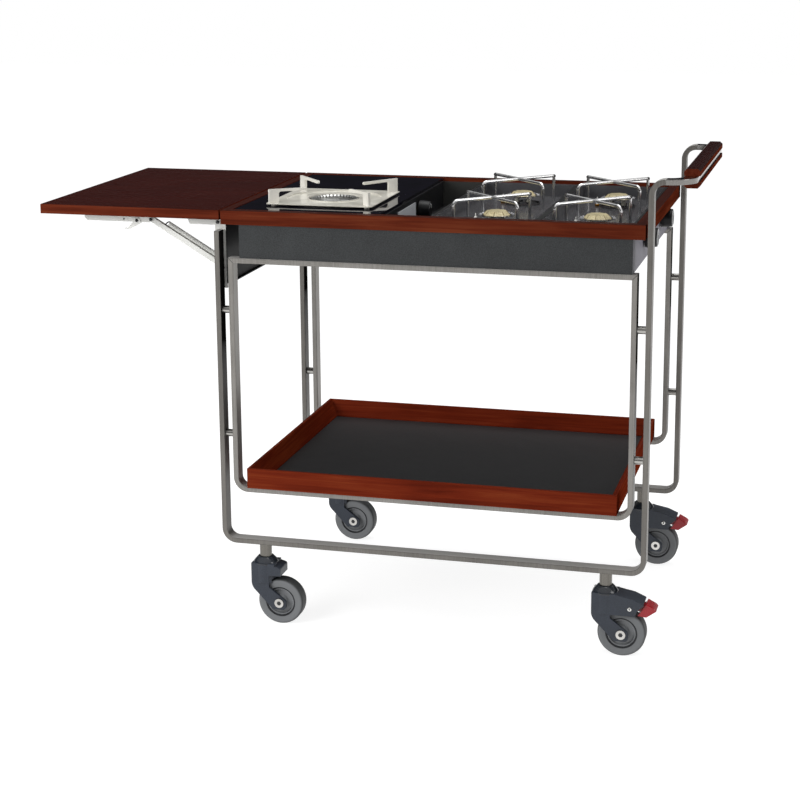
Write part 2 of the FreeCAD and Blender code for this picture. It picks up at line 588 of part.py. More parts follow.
BURNER_TRAY_DEPTH = f"({OPENING_DEPTH} - 2 * dims.burner_tray_margin)"
BURNER_TRAY_START = f"({X_LEFT} + dims.burner_tray_first)"
BURNER_TRAY_ROOM = ("(dims.top_length - dims.burner_tray_first - dims.burner_tray_divider"
                    " - dims.burner_tray_end)")
LEFT_TRAY_WIDTH = f"({BURNER_TRAY_ROOM} * dims.burner_tray_share)"
RIGHT_TRAY_WIDTH = f"({BURNER_TRAY_ROOM} - {LEFT_TRAY_WIDTH})"
BURNER_TRAYS = {
    "burner_tray_left": (BURNER_TRAY_START, LEFT_TRAY_WIDTH),
    "burner_tray_right": (f"({BURNER_TRAY_START} + {LEFT_TRAY_WIDTH} + dims.burner_tray_divider)",
                          RIGHT_TRAY_WIDTH)}


def top_deck():
    sheet, tall = "dims.deck_sheet", f"({DECK_TOP} - {TOP_UNDERSIDE})"
    plate = centred_box("deck_plate", OPENING_LENGTH, OPENING_DEPTH, tall, OPENING_LEFT, TOP_UNDERSIDE)
    under = centred_box("deck_underside", f"{OPENING_LENGTH} - 2 * {sheet}", f"{OPENING_DEPTH} - 2 * {sheet}",
                        f"{tall} - {sheet}", f"{OPENING_LEFT} + {sheet}", TOP_UNDERSIDE)
    skirted = cut("deck_skirt", plate, under)
    well_depth = f"({OPENING_DEPTH} - 2 * dims.well_margin)"
    floor = f"({DECK_TOP} - dims.well_depth)"
    well_outside = centred_box("well_outside", f"dims.well_width + 2 * {sheet}",
                               f"{well_depth} + 2 * {sheet}", f"dims.well_depth + {sheet} / 2",
                               f"{WELL_LEFT} - {sheet}", f"{floor} - {sheet}")
    well_inside = centred_box("well_inside", "dims.well_width", well_depth, f"dims.well_depth + {sheet}",
                              WELL_LEFT, floor)
    mouths = []
    for label, (left, width) in BURNER_TRAYS.items():
        mouths.append(centred_box(f"{label}_mouth", width, BURNER_TRAY_DEPTH, f"3 * {sheet}", left,
                                  f"{DECK_TOP} - 2 * {sheet}"))
    tap_hole = cylinder("hob_tap_hole", "dims.neck_radius", f"3 * {sheet}", f"{WELL_LEFT} - 2 * {sheet}",
                        HOB_KNOB_Y, HOB_KNOB_Z, LAID_ALONG_X)
    deck = cut("top_deck", fuse("top_deck", skirted, well_outside), well_inside, *mouths, tap_hole)
    node(deck, "top_deck")


def burner_tray(label):
    sheet, flange, gap = "dims.tray_sheet", "dims.burner_tray_flange", "dims.glass_gap"
    left, width = BURNER_TRAYS[label]
    wide, deep = f"({width} - 2 * {gap})", f"({BURNER_TRAY_DEPTH} - 2 * {gap})"
    rim = centred_box(f"{label}_rim", f"{wide} + 2 * {flange}", f"{deep} + 2 * {flange}", sheet,
                      f"{left} + {gap} - {flange}", DECK_TOP)
    pan = centred_box(f"{label}_pan", wide, deep, f"dims.burner_tray_depth + {sheet}", f"{left} + {gap}",
                      f"{PAN_FLOOR} - {sheet}")
    inside = centred_box(f"{label}_inside", f"{wide} - 2 * {sheet}", f"{deep} - 2 * {sheet}",
                         f"dims.burner_tray_depth + 2 * {sheet}", f"{left} + {gap} + {sheet}", PAN_FLOOR)
    node(cut(label, fuse(label, rim, pan), inside), label)


# Hob


def hob_glass():
    gap = "dims.glass_gap"
    length = f"(dims.well_left - dims.top_rail_width - 2 * {gap} - dims.deck_sheet)"
    glass = centred_box("hob_glass_sheet", length, f"{OPENING_DEPTH} - 2 * {gap}", "dims.glass_thickness",
                        f"{OPENING_LEFT} + {gap}", DECK_TOP)
    hole = cylinder("hob_glass_hole", "dims.glass_hole_radius", "3 * dims.glass_thickness", HOB_X, HOB_Y,
                    f"{DECK_TOP} - dims.glass_thickness")
    node(cut("hob_glass", glass, hole), "hob_glass")


def drip_plate():
    half, soft = "dims.drip_plate_size / 2", "dims.drip_plate_corner"
    square = [(f"-{half}", f"-{half}", soft), (half, f"-{half}", soft),
              (half, half, soft), (f"-{half}", half, soft)]
    sheet, deep, rim = "dims.drip_plate_sheet", "dims.dish_depth", "dims.dish_radius"
    plate = padded("drip_plate", "XY", sheet, square)
    pocket_circle(plate, "drip_plate_opening", "XY", "0", "0", f"{rim} - {sheet}")
    hole, top = "dims.dish_hole_radius", f"{sheet} / 2"
    floor = f"({top} - {deep})"
    dish = sketch(plate, "drip_plate_dish_section", "XZ")
    outline(dish, [(hole, f"{floor} - {sheet}"), (f"{rim} - {deep}", f"{floor} - {sheet}"), (rim, f"-{top}"),
                   (rim, top), (f"{rim} - {deep}", floor), (f"{hole} + {sheet}", floor),
                   (f"{hole} + {sheet}", f"{floor} + {sheet}"), (hole, f"{floor} + {sheet}")])
    feature(plate, "Revolution", "drip_plate_dish", dish)
    feet = sketch(plate, "drip_plate_feet_outline", "XY")
    corner = f"({half} - dims.drip_foot_inset)"
    for x in (corner, f"-{corner}"):
        for y in (corner, f"-{corner}"):
            circle(feet, x, y, "dims.drip_foot_radius")
    feet.setExpression("AttachmentOffset.Base.z", f"-({top} + dims.drip_foot / 2)")
    feature(plate, "Pad", "drip_plate_feet", feet, "dims.drip_foot")
    node(place(plate, HOB_X, HOB_Y, f"{PLATE_TOP} - {top}"), "drip_plate")


def pan_prongs():
    corner = "(dims.drip_plate_size / 2 * sqrt(2) - dims.drip_plate_corner)"
    top, arm = "dims.prong_height", "dims.prong_arm"
    inside, tip = f"({corner} - dims.prong_leg)", f"({corner} - dims.prong_reach)"
    fall = "dims.prong_fall"
    corners = [
        (inside, "0"), (corner, "0"), (corner, top), (tip, f"{top} - {fall}", "dims.prong_sheet / 2"),
        (tip, f"{top} - {fall} - {arm}", "dims.prong_sheet / 2"),
        (inside, f"{top} - {arm}", "dims.prong_sheet")]
    prongs = []
    for number in range(4):
        prong = padded(f"pan_prong_{number}", "XZ", "dims.prong_sheet", corners)
        turn = Rotation(Vector(0, 0, 1), 45 + 90 * number)
        prongs.append(place(prong, HOB_X, HOB_Y, PLATE_TOP, turn))
    compound("pan_prongs", prongs)


def hob_burner():
    outer, inner = "dims.ring_radius", "(dims.ring_radius - dims.ring_wall)"
    tall, slope = "dims.ring_height", "dims.ring_slope"
    ring = turned("burner_ring", [
        (inner, "0"), (outer, "0"), (outer, f"{tall} - {slope}"), (f"{outer} - {slope}", tall),
        (f"{inner} + {slope}", tall), (inner, f"{tall} - {slope}")])
    slot = sketch(ring, "burner_ring_slot_outline", "XY")
    wide = "dims.ring_slot / 2"
    outline(slot, rectangle("0", f"-{wide}", f"{inner} + dims.ring_wall / 2", wide))
    slot.setExpression("AttachmentOffset.Base.z", f"{tall} - {slope}")
    first = feature(ring, "Pocket", "burner_ring_slot", slot, f"2 * {slope}")
    around = ring.newObject("PartDesign::PolarPattern", "burner_ring_slots")
    around.Originals = [first]
    around.Axis = (slot, ["N_Axis"])
    around.Angle = 360
    around.Occurrences = RING_SLOTS
    ring.Tip = around
    doc.recompute()
    node(place(ring, HOB_X, HOB_Y, DECK_TOP), "burner_ring")
    cap_radius, cap_tall = "dims.cap_radius", "dims.cap_height"
    cap = turned("burner_cap", [("0", "0"), (cap_radius, "0"), (cap_radius, f"{cap_tall} / 2"),
                                (f"{cap_radius} - dims.cap_slope", cap_tall), ("0", cap_tall)])
    node(place(cap, HOB_X, HOB_Y, DECK_TOP), "burner_cap")


def small_burner_places(shift):
    places = []
    for end in ("left", "right"):
        left, width = BURNER_TRAYS[f"burner_tray_{end}"]
        x = f"({left} + {width} / 2 + {shift})"
        for side, sign in front_and_rear():
            places.append((f"{end}_{side}", x, f"{sign}dims.burner_offset_y"))
    return places


def octagon(name, radius, x, y, z):
    shape = doc.addObject("Part::RegularPolygon", name)
    shape.Polygon = CAP_SIDES
    bind(shape, Circumradius=radius)
    return place(shape, x, y, z)


def small_burners():
    sheet, wide, tall = "dims.tray_sheet", "dims.burner_dish_radius", "dims.burner_dish_height"
    for name, x, y in small_burner_places("dims.burner_shift"):
        rim = cylinder(f"dish_{name}", wide, tall, x, y, PAN_FLOOR)
        hollow = cylinder(f"dish_hollow_{name}", f"{wide} - {sheet}", tall, x, y, f"{PAN_FLOOR} + {sheet}")
        pieces = [cut(f"dish_{name}", rim, hollow)]
        for hand, sign in (("left", "-"), ("right", "+")):
            post_x = f"{x} {sign} dims.burner_post_spread"
            pieces.append(cylinder(f"post_{name}_{hand}", "dims.burner_post_radius",
                                   "dims.burner_post_height", post_x, y, PAN_FLOOR))
        plate_z = f"({PAN_FLOOR} + dims.burner_post_height)"
        cap_z = f"({plate_z} + dims.burner_plate_height)"
        cap_top = f"({cap_z} + dims.burner_cap_height)"
        pieces.append(cylinder(f"plate_{name}", "dims.burner_plate_radius", "dims.burner_plate_height",
                               x, y, plate_z))
        head = doc.addObject("Part::Loft", f"head_{name}")
        head.Sections = [octagon(f"head_low_{name}", "dims.burner_cap_radius", x, y, cap_z),
                         octagon(f"head_high_{name}", "dims.burner_cap_top", x, y, cap_top)]
        head.Solid = True
        head.Ruled = True
        node(fuse(f"burner_{name}", *pieces, head), f"burner_{name}")


def trivets():
    side = f"({RIGHT_TRAY_WIDTH} - 2 * dims.trivet_margin - dims.trivet_rod)"
    reach = f"({side} / 2 * sqrt(2))"
    top, bend = "(dims.trivet_height - dims.trivet_rod / 2)", "dims.trivet_bend"
    tight = "dims.trivet_tight_bend"
    path = [(f"-{reach}", "0"), (f"-{reach}", top, bend), (reach, top, tight), (reach, "0")]
    for name, x, y in small_burner_places("-dims.burner_shift"):
        trivet = body(f"trivet_{name}")
        for plane, across in (("XZ", (f"-{reach}", "0")), ("YZ", ("0", f"-{reach}"))):
            spine = sketch(trivet, f"trivet_{name}_path_{plane}", plane)
            outline(spine, path, closed=False)
            section = sketch(trivet, f"trivet_{name}_rod_{plane}", "XY")
            circle(section, *across, "dims.trivet_rod / 2")
            rod = trivet.newObject("PartDesign::AdditivePipe", f"trivet_{name}_pipe_{plane}")
            rod.Profile = section
            rod.Spine = spine
            rod.Transition = "Transformed"
            doc.recompute()
        turn = Rotation(Vector(0, 0, 1), 45)
        node(place(trivet, x, y, PAN_FLOOR, turn), f"trivet_{name}")


# Knobs and taps, each along X from the wall it sits on


def knob_places():
    places = [(f"end_knob_{side}", BOX_RIGHT, f"{sign}dims.end_knob_spread", END_KNOB_Z)
              for side, sign in front_and_rear()]
    places.append(("hob_knob", WELL_LEFT, HOB_KNOB_Y, HOB_KNOB_Z))
    return places


def knobs():
    wide, face, long = "dims.knob_radius", "(dims.knob_radius - dims.knob_taper)", "dims.knob_length"
    bore = "(dims.spindle_radius + dims.running_play)"
    deep = "(dims.spindle_length - dims.knob_gap + dims.seat_gap)"
    for label, x, y, z in knob_places():
        knob = turned(label, [
            (bore, "0"), (wide, "0"), (wide, f"{long} / 3"), (face, long, "dims.knob_taper"),
            ("0", long), ("0", deep), (bore, deep)])
        node(place(knob, f"{x} + dims.knob_gap", y, z, LAID_ALONG_X), label)


def gas_taps():
    taps = []
    for label, x, y, z in knob_places():
        sheet = "dims.deck_sheet" if label == "hob_knob" else "dims.box_sheet"
        size = "dims.tap_size"
        block = box(f"tap_{label}", "dims.tap_length", size, size, f"{x} - {sheet} - dims.tap_length",
                    f"{y} - {size} / 2", f"{z} - {size} / 2")
        neck = cylinder(f"neck_{label}", "dims.neck_radius", sheet, f"{x} - {sheet}", y, z, LAID_ALONG_X)
        spindle = cylinder(f"spindle_{label}", "dims.spindle_radius", "dims.spindle_length",
                           x, y, z, LAID_ALONG_X)
        taps.append(fuse(f"tap_{label}", block, neck, spindle))
    compound("gas_taps", taps)


def control_plate():
    tall = "dims.control_plate_height"
    plate = box("control_plate", "dims.control_plate_sheet", "dims.control_plate_length", tall,
                WELL_LEFT, f"dims.control_plate_start - {HALF_DEPTH}",
                f"{HOB_KNOB_Z} + dims.knob_radius - {tall}")
    node(plate, "control_plate")


# Casters, drawn about the stem's axis with the floor at zero


def caster_places():
    places = []
    for side, sign in front_and_rear():
        places.append((f"{side}_left", f"({X_LEFT} + dims.stem_left_inset)", f"{sign}{BAR_Y}", False))
        places.append((f"{side}_right", f"({X_RIGHT} - dims.stem_right_inset)", f"{sign}{BAR_Y}", True))
    return places


def caster_stems():
    rail, shoulder = "dims.outer_rail_height", "dims.stem_shoulder"
    section = [("0", rail), ("0", "dims.pin_bottom"), ("dims.pin_radius", "dims.pin_bottom"),
               ("dims.pin_radius", shoulder), ("dims.stem_radius", shoulder), ("dims.stem_radius", rail)]
    stems = []
    for name, x, y, braked in caster_places():
        stem = turned(f"stem_{name}", section)
        stems.append(place(stem, x, y, "0"))
    compound("caster_stems", stems)


AXLE = ("dims.wheel_trail", "dims.wheel_radius")


def caster_fork(name, x, y, braked):
    label = f"fork_{name}"
    left, top, low = "-dims.head_radius", "dims.head_top", "dims.hood_bottom"
    foot, nose = "dims.fork_foot", "dims.fork_nose"
    axle_x, axle_z = AXLE
    leg = [(left, top), (left, nose, "dims.head_radius"),
           (f"{axle_x} - {foot}", f"{axle_z} - {foot}", "dims.fork_foot / 2"),
           (f"{axle_x} + {foot}", f"{axle_z} - {foot}", "dims.fork_foot / 2"),
           (f"{axle_x} + {foot}", f"{axle_z} + {foot} / 3", "dims.fork_foot / 2"),
           ("dims.fork_waist", f"{low} - {foot} / 2", "dims.fork_foot / 3")]
    if braked:
        tip, back = "dims.brake_hood", "dims.brake_hood - dims.hood_back"
        hood = [("dims.fork_waist", low, f"{foot} / 5"), (f"{tip} - dims.hood_lip", low),
                (f"{tip} - dims.hood_slope", f"{low} + dims.hood_slope"),
                (tip, f"{top} - dims.hood_tip_drop", f"{foot} / 5"),
                (back, f"{top} - dims.hood_back_drop", "dims.head_radius"),
                ("dims.head_radius", f"{top} - dims.hood_step")]
    else:
        tip, low = "dims.plain_hood", f"({top} - dims.plain_hood_drop - dims.plain_hood_height)"
        hood = [("dims.fork_waist", low, f"{foot} / 3"), (tip, low),
                (tip, f"{top} - dims.plain_hood_drop", f"{foot} / 3"),
                ("dims.head_radius", f"{top} - dims.plain_hood_step")]
    fork = padded(label, "XZ", "dims.fork_width", leg + hood + [("dims.head_radius", top)])
    head = sketch(fork, f"{label}_head_section", "XZ")
    cap = "dims.stem_shoulder - dims.seat_gap"
    outline(head, [("0", "dims.head_bottom"), ("dims.head_radius", "dims.head_bottom"),
                   ("dims.head_radius", top), ("dims.cap_top_radius", cap), ("0", cap)])
    feature(fork, "Revolution", f"{label}_head", head)
    slot = "dims.fork_slot"
    pocket_circle(fork, f"{label}_slot", "XZ", *AXLE, "dims.wheel_radius + dims.fork_clearance", slot)
    pocket_circle(fork, f"{label}_axle_hole", "XZ", *AXLE, "dims.hub_bore_radius - dims.running_play")
    if braked:
        inside = rectangle(f"{axle_x} + {foot} / 2", f"{low} - dims.cut_over", f"{tip} + dims.cut_over",
                           f"{low} + dims.pedal_shank")
        pocket_outline(fork, f"{label}_pedal_slot", "XZ", inside, "dims.pedal_slot")
        pocket_circle(fork, f"{label}_pedal_hole", "XZ", "dims.pedal_pin_x", "dims.pedal_pin_height",
                      "dims.pedal_pin_radius + dims.running_play")
    bore = sketch(fork, f"{label}_bore_section", "XZ")
    wide, deep = "dims.pin_radius + dims.running_play", "dims.pin_bottom - dims.seat_gap"
    outline(bore, rectangle("0", deep, wide, "dims.stem_shoulder + dims.cut_over"))
    feature(fork, "Groove", f"{label}_bore", bore)
    node(place(fork, x, y, "0"), label)


def caster_wheel(name, x, y):
    at = (f"{x} + dims.wheel_trail", y, "dims.wheel_radius", LAID_ALONG_Y)
    bore, boss, rim = "dims.hub_bore_radius", "dims.hub_boss_radius", "dims.rim_radius"
    hub_half, rim_half, web = "dims.hub_width / 2", "dims.rim_width / 2", "dims.hub_web"
    wall = f"({rim} - dims.rim_wall)"
    half = [(bore, hub_half), (boss, hub_half), (f"{boss} + dims.hub_slope", web),
            (f"{wall} - dims.rim_slope", web), (wall, rim_half), (rim, rim_half)]
    mirrored = [(r, f"-({w})") for r, w in reversed(half)]
    hub = turned(f"hub_{name}", half + mirrored)
    node(place(hub, *at), f"hub_{name}")
    edge, bead = "dims.tyre_width / 2", "(dims.tyre_width / 2 - dims.tyre_bead)"
    tread, soft = "dims.wheel_radius", "dims.tyre_round"
    tyre = turned(f"tyre_{name}", [
        (rim, f"-{bead}"), (tread, f"-{edge}", soft), (tread, edge, soft), (rim, bead)])
    node(place(tyre, *at), f"tyre_{name}")


def caster_axle(name, x, y):
    shaft, head = "dims.hub_bore_radius - dims.running_play", "dims.bolt_head_radius"
    cheek, end = "dims.fork_width / 2", "(dims.fork_width / 2 + dims.bolt_head_height)"
    axle = turned(f"axle_{name}", [
        ("0", f"-{end}"), (head, f"-{end}"), (head, f"-{cheek}"), (shaft, f"-{cheek}"),
        (shaft, cheek), (head, cheek), (head, end), ("0", end)])
    node(place(axle, f"{x} + dims.wheel_trail", y, "dims.wheel_radius", LAID_ALONG_Y), f"axle_{name}")


def brake_pedal(name, x, y):
    label = f"pedal_{name}"
    pin_x, pin_z, reach = "dims.pedal_pin_x", "dims.pedal_pin_height", "dims.pedal_reach"
    eye = "2 * dims.pedal_pin_radius"
    shank = padded(label, "XZ", "dims.pedal_shank", [
        (f"{pin_x} - {eye}", f"{pin_z} - {eye}", "dims.pedal_pin_radius"),
        (f"{reach} - dims.shank_end", f"{pin_z} - {eye}"), (f"{reach} - dims.shank_end", f"{pin_z} + {eye}"),
        (f"{pin_x} - {eye}", f"{pin_z} + {eye}", "dims.pedal_pin_radius")])
    tread = sketch(shank, f"{label}_tread_outline", "XZ")
    soft, high = "dims.pedal_pin_radius", f"{pin_z} + dims.tread_high"
    outline(tread, [(f"{reach} - dims.tread_root", f"{pin_z} - dims.tread_under"),
                    (f"{reach} - dims.tread_heel", f"{pin_z} - dims.tread_low", soft),
                    (reach, f"{pin_z} - dims.tread_lip"),
                    (f"{reach} - dims.tread_nose", f"{pin_z} + dims.tread_lift"),
                    (f"{reach} - dims.tread_back", high)])
    feature(shank, "Pad", f"{label}_tread", tread, "dims.pedal_width")
    pin = sketch(shank, f"{label}_pin_outline", "XZ")
    circle(pin, pin_x, pin_z, "dims.pedal_pin_radius")
    feature(shank, "Pad", f"{label}_pin", pin, "dims.fork_width")
    node(place(shank, x, y, "0"), label)


def casters():
    caster_stems()
    for name, x, y, braked in caster_places():
        caster_fork(name, x, y, braked)
        caster_wheel(name, x, y)
        caster_axle(name, x, y)
        if braked:
            brake_pedal(name, x, y)


for frame_side, frame_sign in front_and_rear():
    outer_frame(frame_side, frame_sign)
    inner_loop(frame_side, frame_sign)
handle_bar()
grip("grip_upper", "+", NO_TURN)
grip("grip_lower", "-", UPSIDE_DOWN)
frame_spacers()
top_rails()
leaf_top()
tray()
brackets()
gas_box()
end_plate()
top_deck()
for tray_label in BURNER_TRAYS:
    burner_tray(tray_label)
hob_glass()
drip_plate()
pan_prongs()
hob_burner()
small_burners()
trivets()
knobs()
gas_taps()
control_plate()
casters()
doc.recompute()

for item in doc.Objects:
    if "Invalid" in item.State or "Error" in item.State:
        raise RuntimeError(f"{item.Label} did not build: {item.State}")
for item in nodes:
    if item.Shape.isNull() or not item.Shape.isValid() or not item.Shape.Solids:
        raise RuntimeError(f"{item.Label} has no sound solid")

os.makedirs("parts", exist_ok=True)
for item in nodes:
    item.Shape.exportStep(f"parts/{item.Label}.step")
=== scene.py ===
import json
import math

import bmesh
import bpy
import numpy as np
from mathutils import Matrix, Vector


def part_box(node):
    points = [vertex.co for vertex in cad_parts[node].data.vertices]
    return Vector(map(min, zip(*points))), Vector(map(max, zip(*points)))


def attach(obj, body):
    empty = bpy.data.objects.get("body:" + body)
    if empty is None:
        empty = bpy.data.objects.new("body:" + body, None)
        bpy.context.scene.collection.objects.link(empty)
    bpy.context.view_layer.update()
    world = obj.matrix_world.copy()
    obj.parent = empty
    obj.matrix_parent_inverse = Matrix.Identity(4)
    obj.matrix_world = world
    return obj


# A flambe trolley: lacquered mahogany edges, bent steel bars, a black glass hob, steel burner trays,
# a tray shelf, a drop leaf on white brackets and four moulded casters. The stage is in metres; small
# pieces are worked out in millimetres.

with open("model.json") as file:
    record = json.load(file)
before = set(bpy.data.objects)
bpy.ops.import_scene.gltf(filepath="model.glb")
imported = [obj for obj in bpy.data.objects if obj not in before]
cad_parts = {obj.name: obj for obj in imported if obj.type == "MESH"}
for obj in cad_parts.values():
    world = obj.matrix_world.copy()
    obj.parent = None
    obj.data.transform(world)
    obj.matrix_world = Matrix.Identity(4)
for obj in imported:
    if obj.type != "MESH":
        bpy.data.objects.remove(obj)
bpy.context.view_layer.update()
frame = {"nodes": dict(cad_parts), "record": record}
MM = 0.001
SIDES = ("front", "rear")
ENDS = ("left", "right")
SPOTS = [f"{end}_{side}" for end in ENDS for side in SIDES]
CASTERS = [f"{side}_{end}" for side in SIDES for end in ENDS]
BRAKED = [name for name in CASTERS if name.endswith("right")]
OUTWARD = {"front": -1, "rear": 1}
joints = {joint["name"]: joint for joint in frame["record"]["behaviour"]["joints"]}


def corners(node):
    """A node's lowest and highest corner in millimetres."""
    return np.array(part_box(node)) / MM


def pivot(joint):
    """A joint's centre in millimetres."""
    return np.array(joints[joint]["pos_m"]) / MM


# Camera and stage


CAMERA_PLACE = Vector((1.05373, -3.82487, 1.49044))
CAMERA_YAW = 0.2642
CAMERA_PITCH = 0.2166
CAMERA_ROLL = 0.0075
FOCAL_PIXELS = 1828.4
PICTURE = 800
SENSOR_WIDTH = 36
SHIFT_DOWN = -0.1
FARTHEST = 60


def set_camera():
    """The camera looks along +Y, turned left by the yaw, down by the pitch and aside by the roll."""
    data = bpy.data.cameras.new("camera")
    data.sensor_width = SENSOR_WIDTH
    data.lens = SENSOR_WIDTH * FOCAL_PIXELS / PICTURE
    data.shift_y = SHIFT_DOWN
    data.clip_end = FARTHEST
    camera = bpy.data.objects.new("camera", data)
    bpy.context.scene.collection.objects.link(camera)
    turn = (Matrix.Rotation(CAMERA_YAW, 4, "Z") @ Matrix.Rotation(math.pi / 2 - CAMERA_PITCH, 4, "X")
            @ Matrix.Rotation(-CAMERA_ROLL, 4, "Z"))
    camera.matrix_world = Matrix.Translation(CAMERA_PLACE) @ turn
    bpy.context.scene.camera = camera


def linear(code):
    """An sRGB hex colour as linear red, green, blue and full alpha."""
    parts = np.array([int(code[i:i + 2], 16) for i in (1, 3, 5)]) / 255
    parts = np.where(parts <= 0.04045, parts / 12.92, ((parts + 0.055) / 1.055) ** 2.4)
    return (*parts, 1.0)


def put(tree, kind, inputs=None, stops=(), steps="LINEAR", **settings):
    """Add one node with its settings. An input given as a socket is linked, any other is set. A colour
    ramp has its stops as (position, hex colour), and the way it steps between them."""
    item = tree.nodes.new(kind)
    for name, setting in settings.items():
        setattr(item, name, setting)
    for name, given in (inputs or {}).items():
        if isinstance(given, bpy.types.NodeSocket):
            tree.links.new(given, item.inputs[name])
        else:
            item.inputs[name].default_value = given
    if stops:
        item.color_ramp.interpolation = steps
        points = item.color_ramp.elements
        while len(points) < len(stops):
            points.new(0.5)
        for point, (position, code) in zip(points, stops):
            point.position = position
            point.color = linear(code)
    return item


def blank(name, fixed=None):
    """A material with a Principled shader that has the fixed inputs, its tree and the piece's own
    coordinates in metres."""
    material = bpy.data.materials.new(name)
    material.use_nodes = True
    tree = material.node_tree
    tree.nodes.clear()
    shader = put(tree, "ShaderNodeBsdfPrincipled", fixed)
    put(tree, "ShaderNodeOutputMaterial", {"Surface": shader.outputs["BSDF"]})
    place = put(tree, "ShaderNodeTexCoord").outputs["Object"]
    return material, tree, shader, place


def per_metre(millimetres):
    """The scale at which a pattern repeats about once in a length."""
    return 1 / (millimetres * MM)


# The studio: a white surround up to the horizon, a dark upper wall and a soft bright ceiling, so that
# level surfaces seen from low down mirror the dark wall and upright ones the white floor
WHITE = "#FFFFFF"
BLACK = "#000000"
WALL_STOPS = [(0.0, WHITE), (0.5, WHITE), (0.53, "#222224"), (0.7, "#1B1B1D"), (0.78, "#D0D0D0"),
              (1.0, "#F4F4F4")]
FLOOR_REACH = 14.0
FLOOR_GREY = "#9C9C9C"
FLOOR_GLOW = 0.84
FLOOR_BOUNCE = 0.4


def rays_of(tree, *kinds):
    """1 for light rays of the named kinds and 0 for all others: the largest of the kinds' marks."""
    marks = put(tree, "ShaderNodeLightPath").outputs
    found = marks[kinds[0]]
    for kind in kinds[1:]:
        found = put(tree, "ShaderNodeMath", {0: found, 1: marks[kind]}, operation="MAXIMUM").outputs[0]
    return found


def set_stage():
    """A large pale floor in a studio; the camera sees both as white, with a soft shadow on the floor."""
    scene = bpy.context.scene
    scene.view_settings.view_transform = "Standard"
    world = bpy.data.worlds.new("studio")
    scene.world = world
    world.use_nodes = True
    tree = world.node_tree
    tree.nodes.clear()
    seen = rays_of(tree, "Is Camera Ray", "Is Transmission Ray")
    direction = put(tree, "ShaderNodeTexCoord").outputs["Generated"]
    up = put(tree, "ShaderNodeSeparateXYZ", {0: direction}).outputs["Z"]
    level = put(tree, "ShaderNodeMapRange", {"Value": up, "From Min": -1.0, "From Max": 1.0}).outputs[0]
    walls = put(tree, "ShaderNodeValToRGB", {"Fac": level}, WALL_STOPS).outputs["Color"]
    colour = put(tree, "ShaderNodeMix", {"Factor": seen, "A": walls, "B": linear(WHITE)},
                 data_type="RGBA").outputs["Result"]
    light = put(tree, "ShaderNodeBackground", {"Color": colour, "Strength": 1.0})
    put(tree, "ShaderNodeOutputWorld", {"Surface": light.outputs["Background"]})

    edges = FLOOR_REACH * np.array([(-1, -1, 0), (1, -1, 0), (1, 1, 0), (-1, 1, 0)])
    mesh = bpy.data.meshes.new("floor")
    mesh.from_pydata(edges.tolist(), [], [(0, 1, 2, 3)])
    floor = bpy.data.objects.new("floor", mesh)
    scene.collection.objects.link(floor)
    paper, tree, shader, _ = blank("studio_paper", {"Base Color": linear(FLOOR_GREY), "Roughness": 0.9,
                                                    "Specular IOR Level": 0.0,
                                                    "Emission Color": linear(WHITE)})
    seen = rays_of(tree, "Is Camera Ray", "Is Transmission Ray", "Is Glossy Ray")
    glow = put(tree, "ShaderNodeMix", {"Factor": seen, "A": FLOOR_BOUNCE, "B": FLOOR_GLOW}).outputs["Result"]
    tree.links.new(glow, shader.inputs["Emission Strength"])
    mesh.materials.append(paper)


def soft_lamp(name, place, target, size, watts, mirrored=True):
    """A rectangular soft box that faces its target; one that isn't mirrored leaves no bright patch in
    the glass."""
    data = bpy.data.lights.new(name, "AREA")
    data.shape = "RECTANGLE"
    data.size, data.size_y = size
    data.energy = watts
    lamp = bpy.data.objects.new(name, data)
    lamp.visible_glossy = mirrored
    bpy.context.scene.collection.objects.link(lamp)
    aim = Vector(target) - Vector(place)
    lamp.matrix_world = Matrix.Translation(place) @ aim.to_track_quat("-Z", "Y").to_matrix().to_4x4()


def set_lamps():
    """A key light from the front left, a side light from the right and a soft light from above."""
    soft_lamp("key_box", place=(-1.7, -2.1, 1.7), target=(-0.1, 0, 0.6), size=(1.6, 1.6), watts=60,
              mirrored=False)
    soft_lamp("side_box", place=(3.6, -0.8, 2.0), target=(0.2, 0, 0.6), size=(1.4, 2.2), watts=32)
    soft_lamp("top_box", place=(0.2, 0.4, 3.6), target=(0, 0, 0.8), size=(2.6, 1.8), watts=45)


# Surfaces for the small pieces: points in millimetres and faces as rows of corner numbers


MERGE_DISTANCE = 2e-6
SHARP_ANGLE = math.radians(40)
NEARLY_UPRIGHT = 0.9


def grid_faces(rows, columns, closed):
    """Quads between neighbouring points of a grid whose columns run round; closed joins the last row to
    the first."""
    row = np.arange(rows if closed else rows - 1)[:, None]
    column = np.arange(columns)[None, :]
    across = (column + 1) % columns
    below = (row + 1) % rows
    quads = [row * columns + column, row * columns + across,
             below * columns + across, below * columns + column]
    return np.stack(np.broadcast_arrays(*quads), axis=-1).reshape(-1, 4)


def basis(axis):
    """Two unit vectors across an axis and the axis itself, as rows: cross products with Z, or with X for
    an axis that is nearly upright."""
    axis = np.array(axis, float) / np.linalg.norm(axis)
    helper = np.array((0.0, 0.0, 1.0)) if abs(axis[2]) < NEARLY_UPRIGHT else np.array((1.0, 0.0, 0.0))
    first = np.cross(helper, axis)
    first = first / np.linalg.norm(first)
    return np.array([first, np.cross(axis, first), axis])


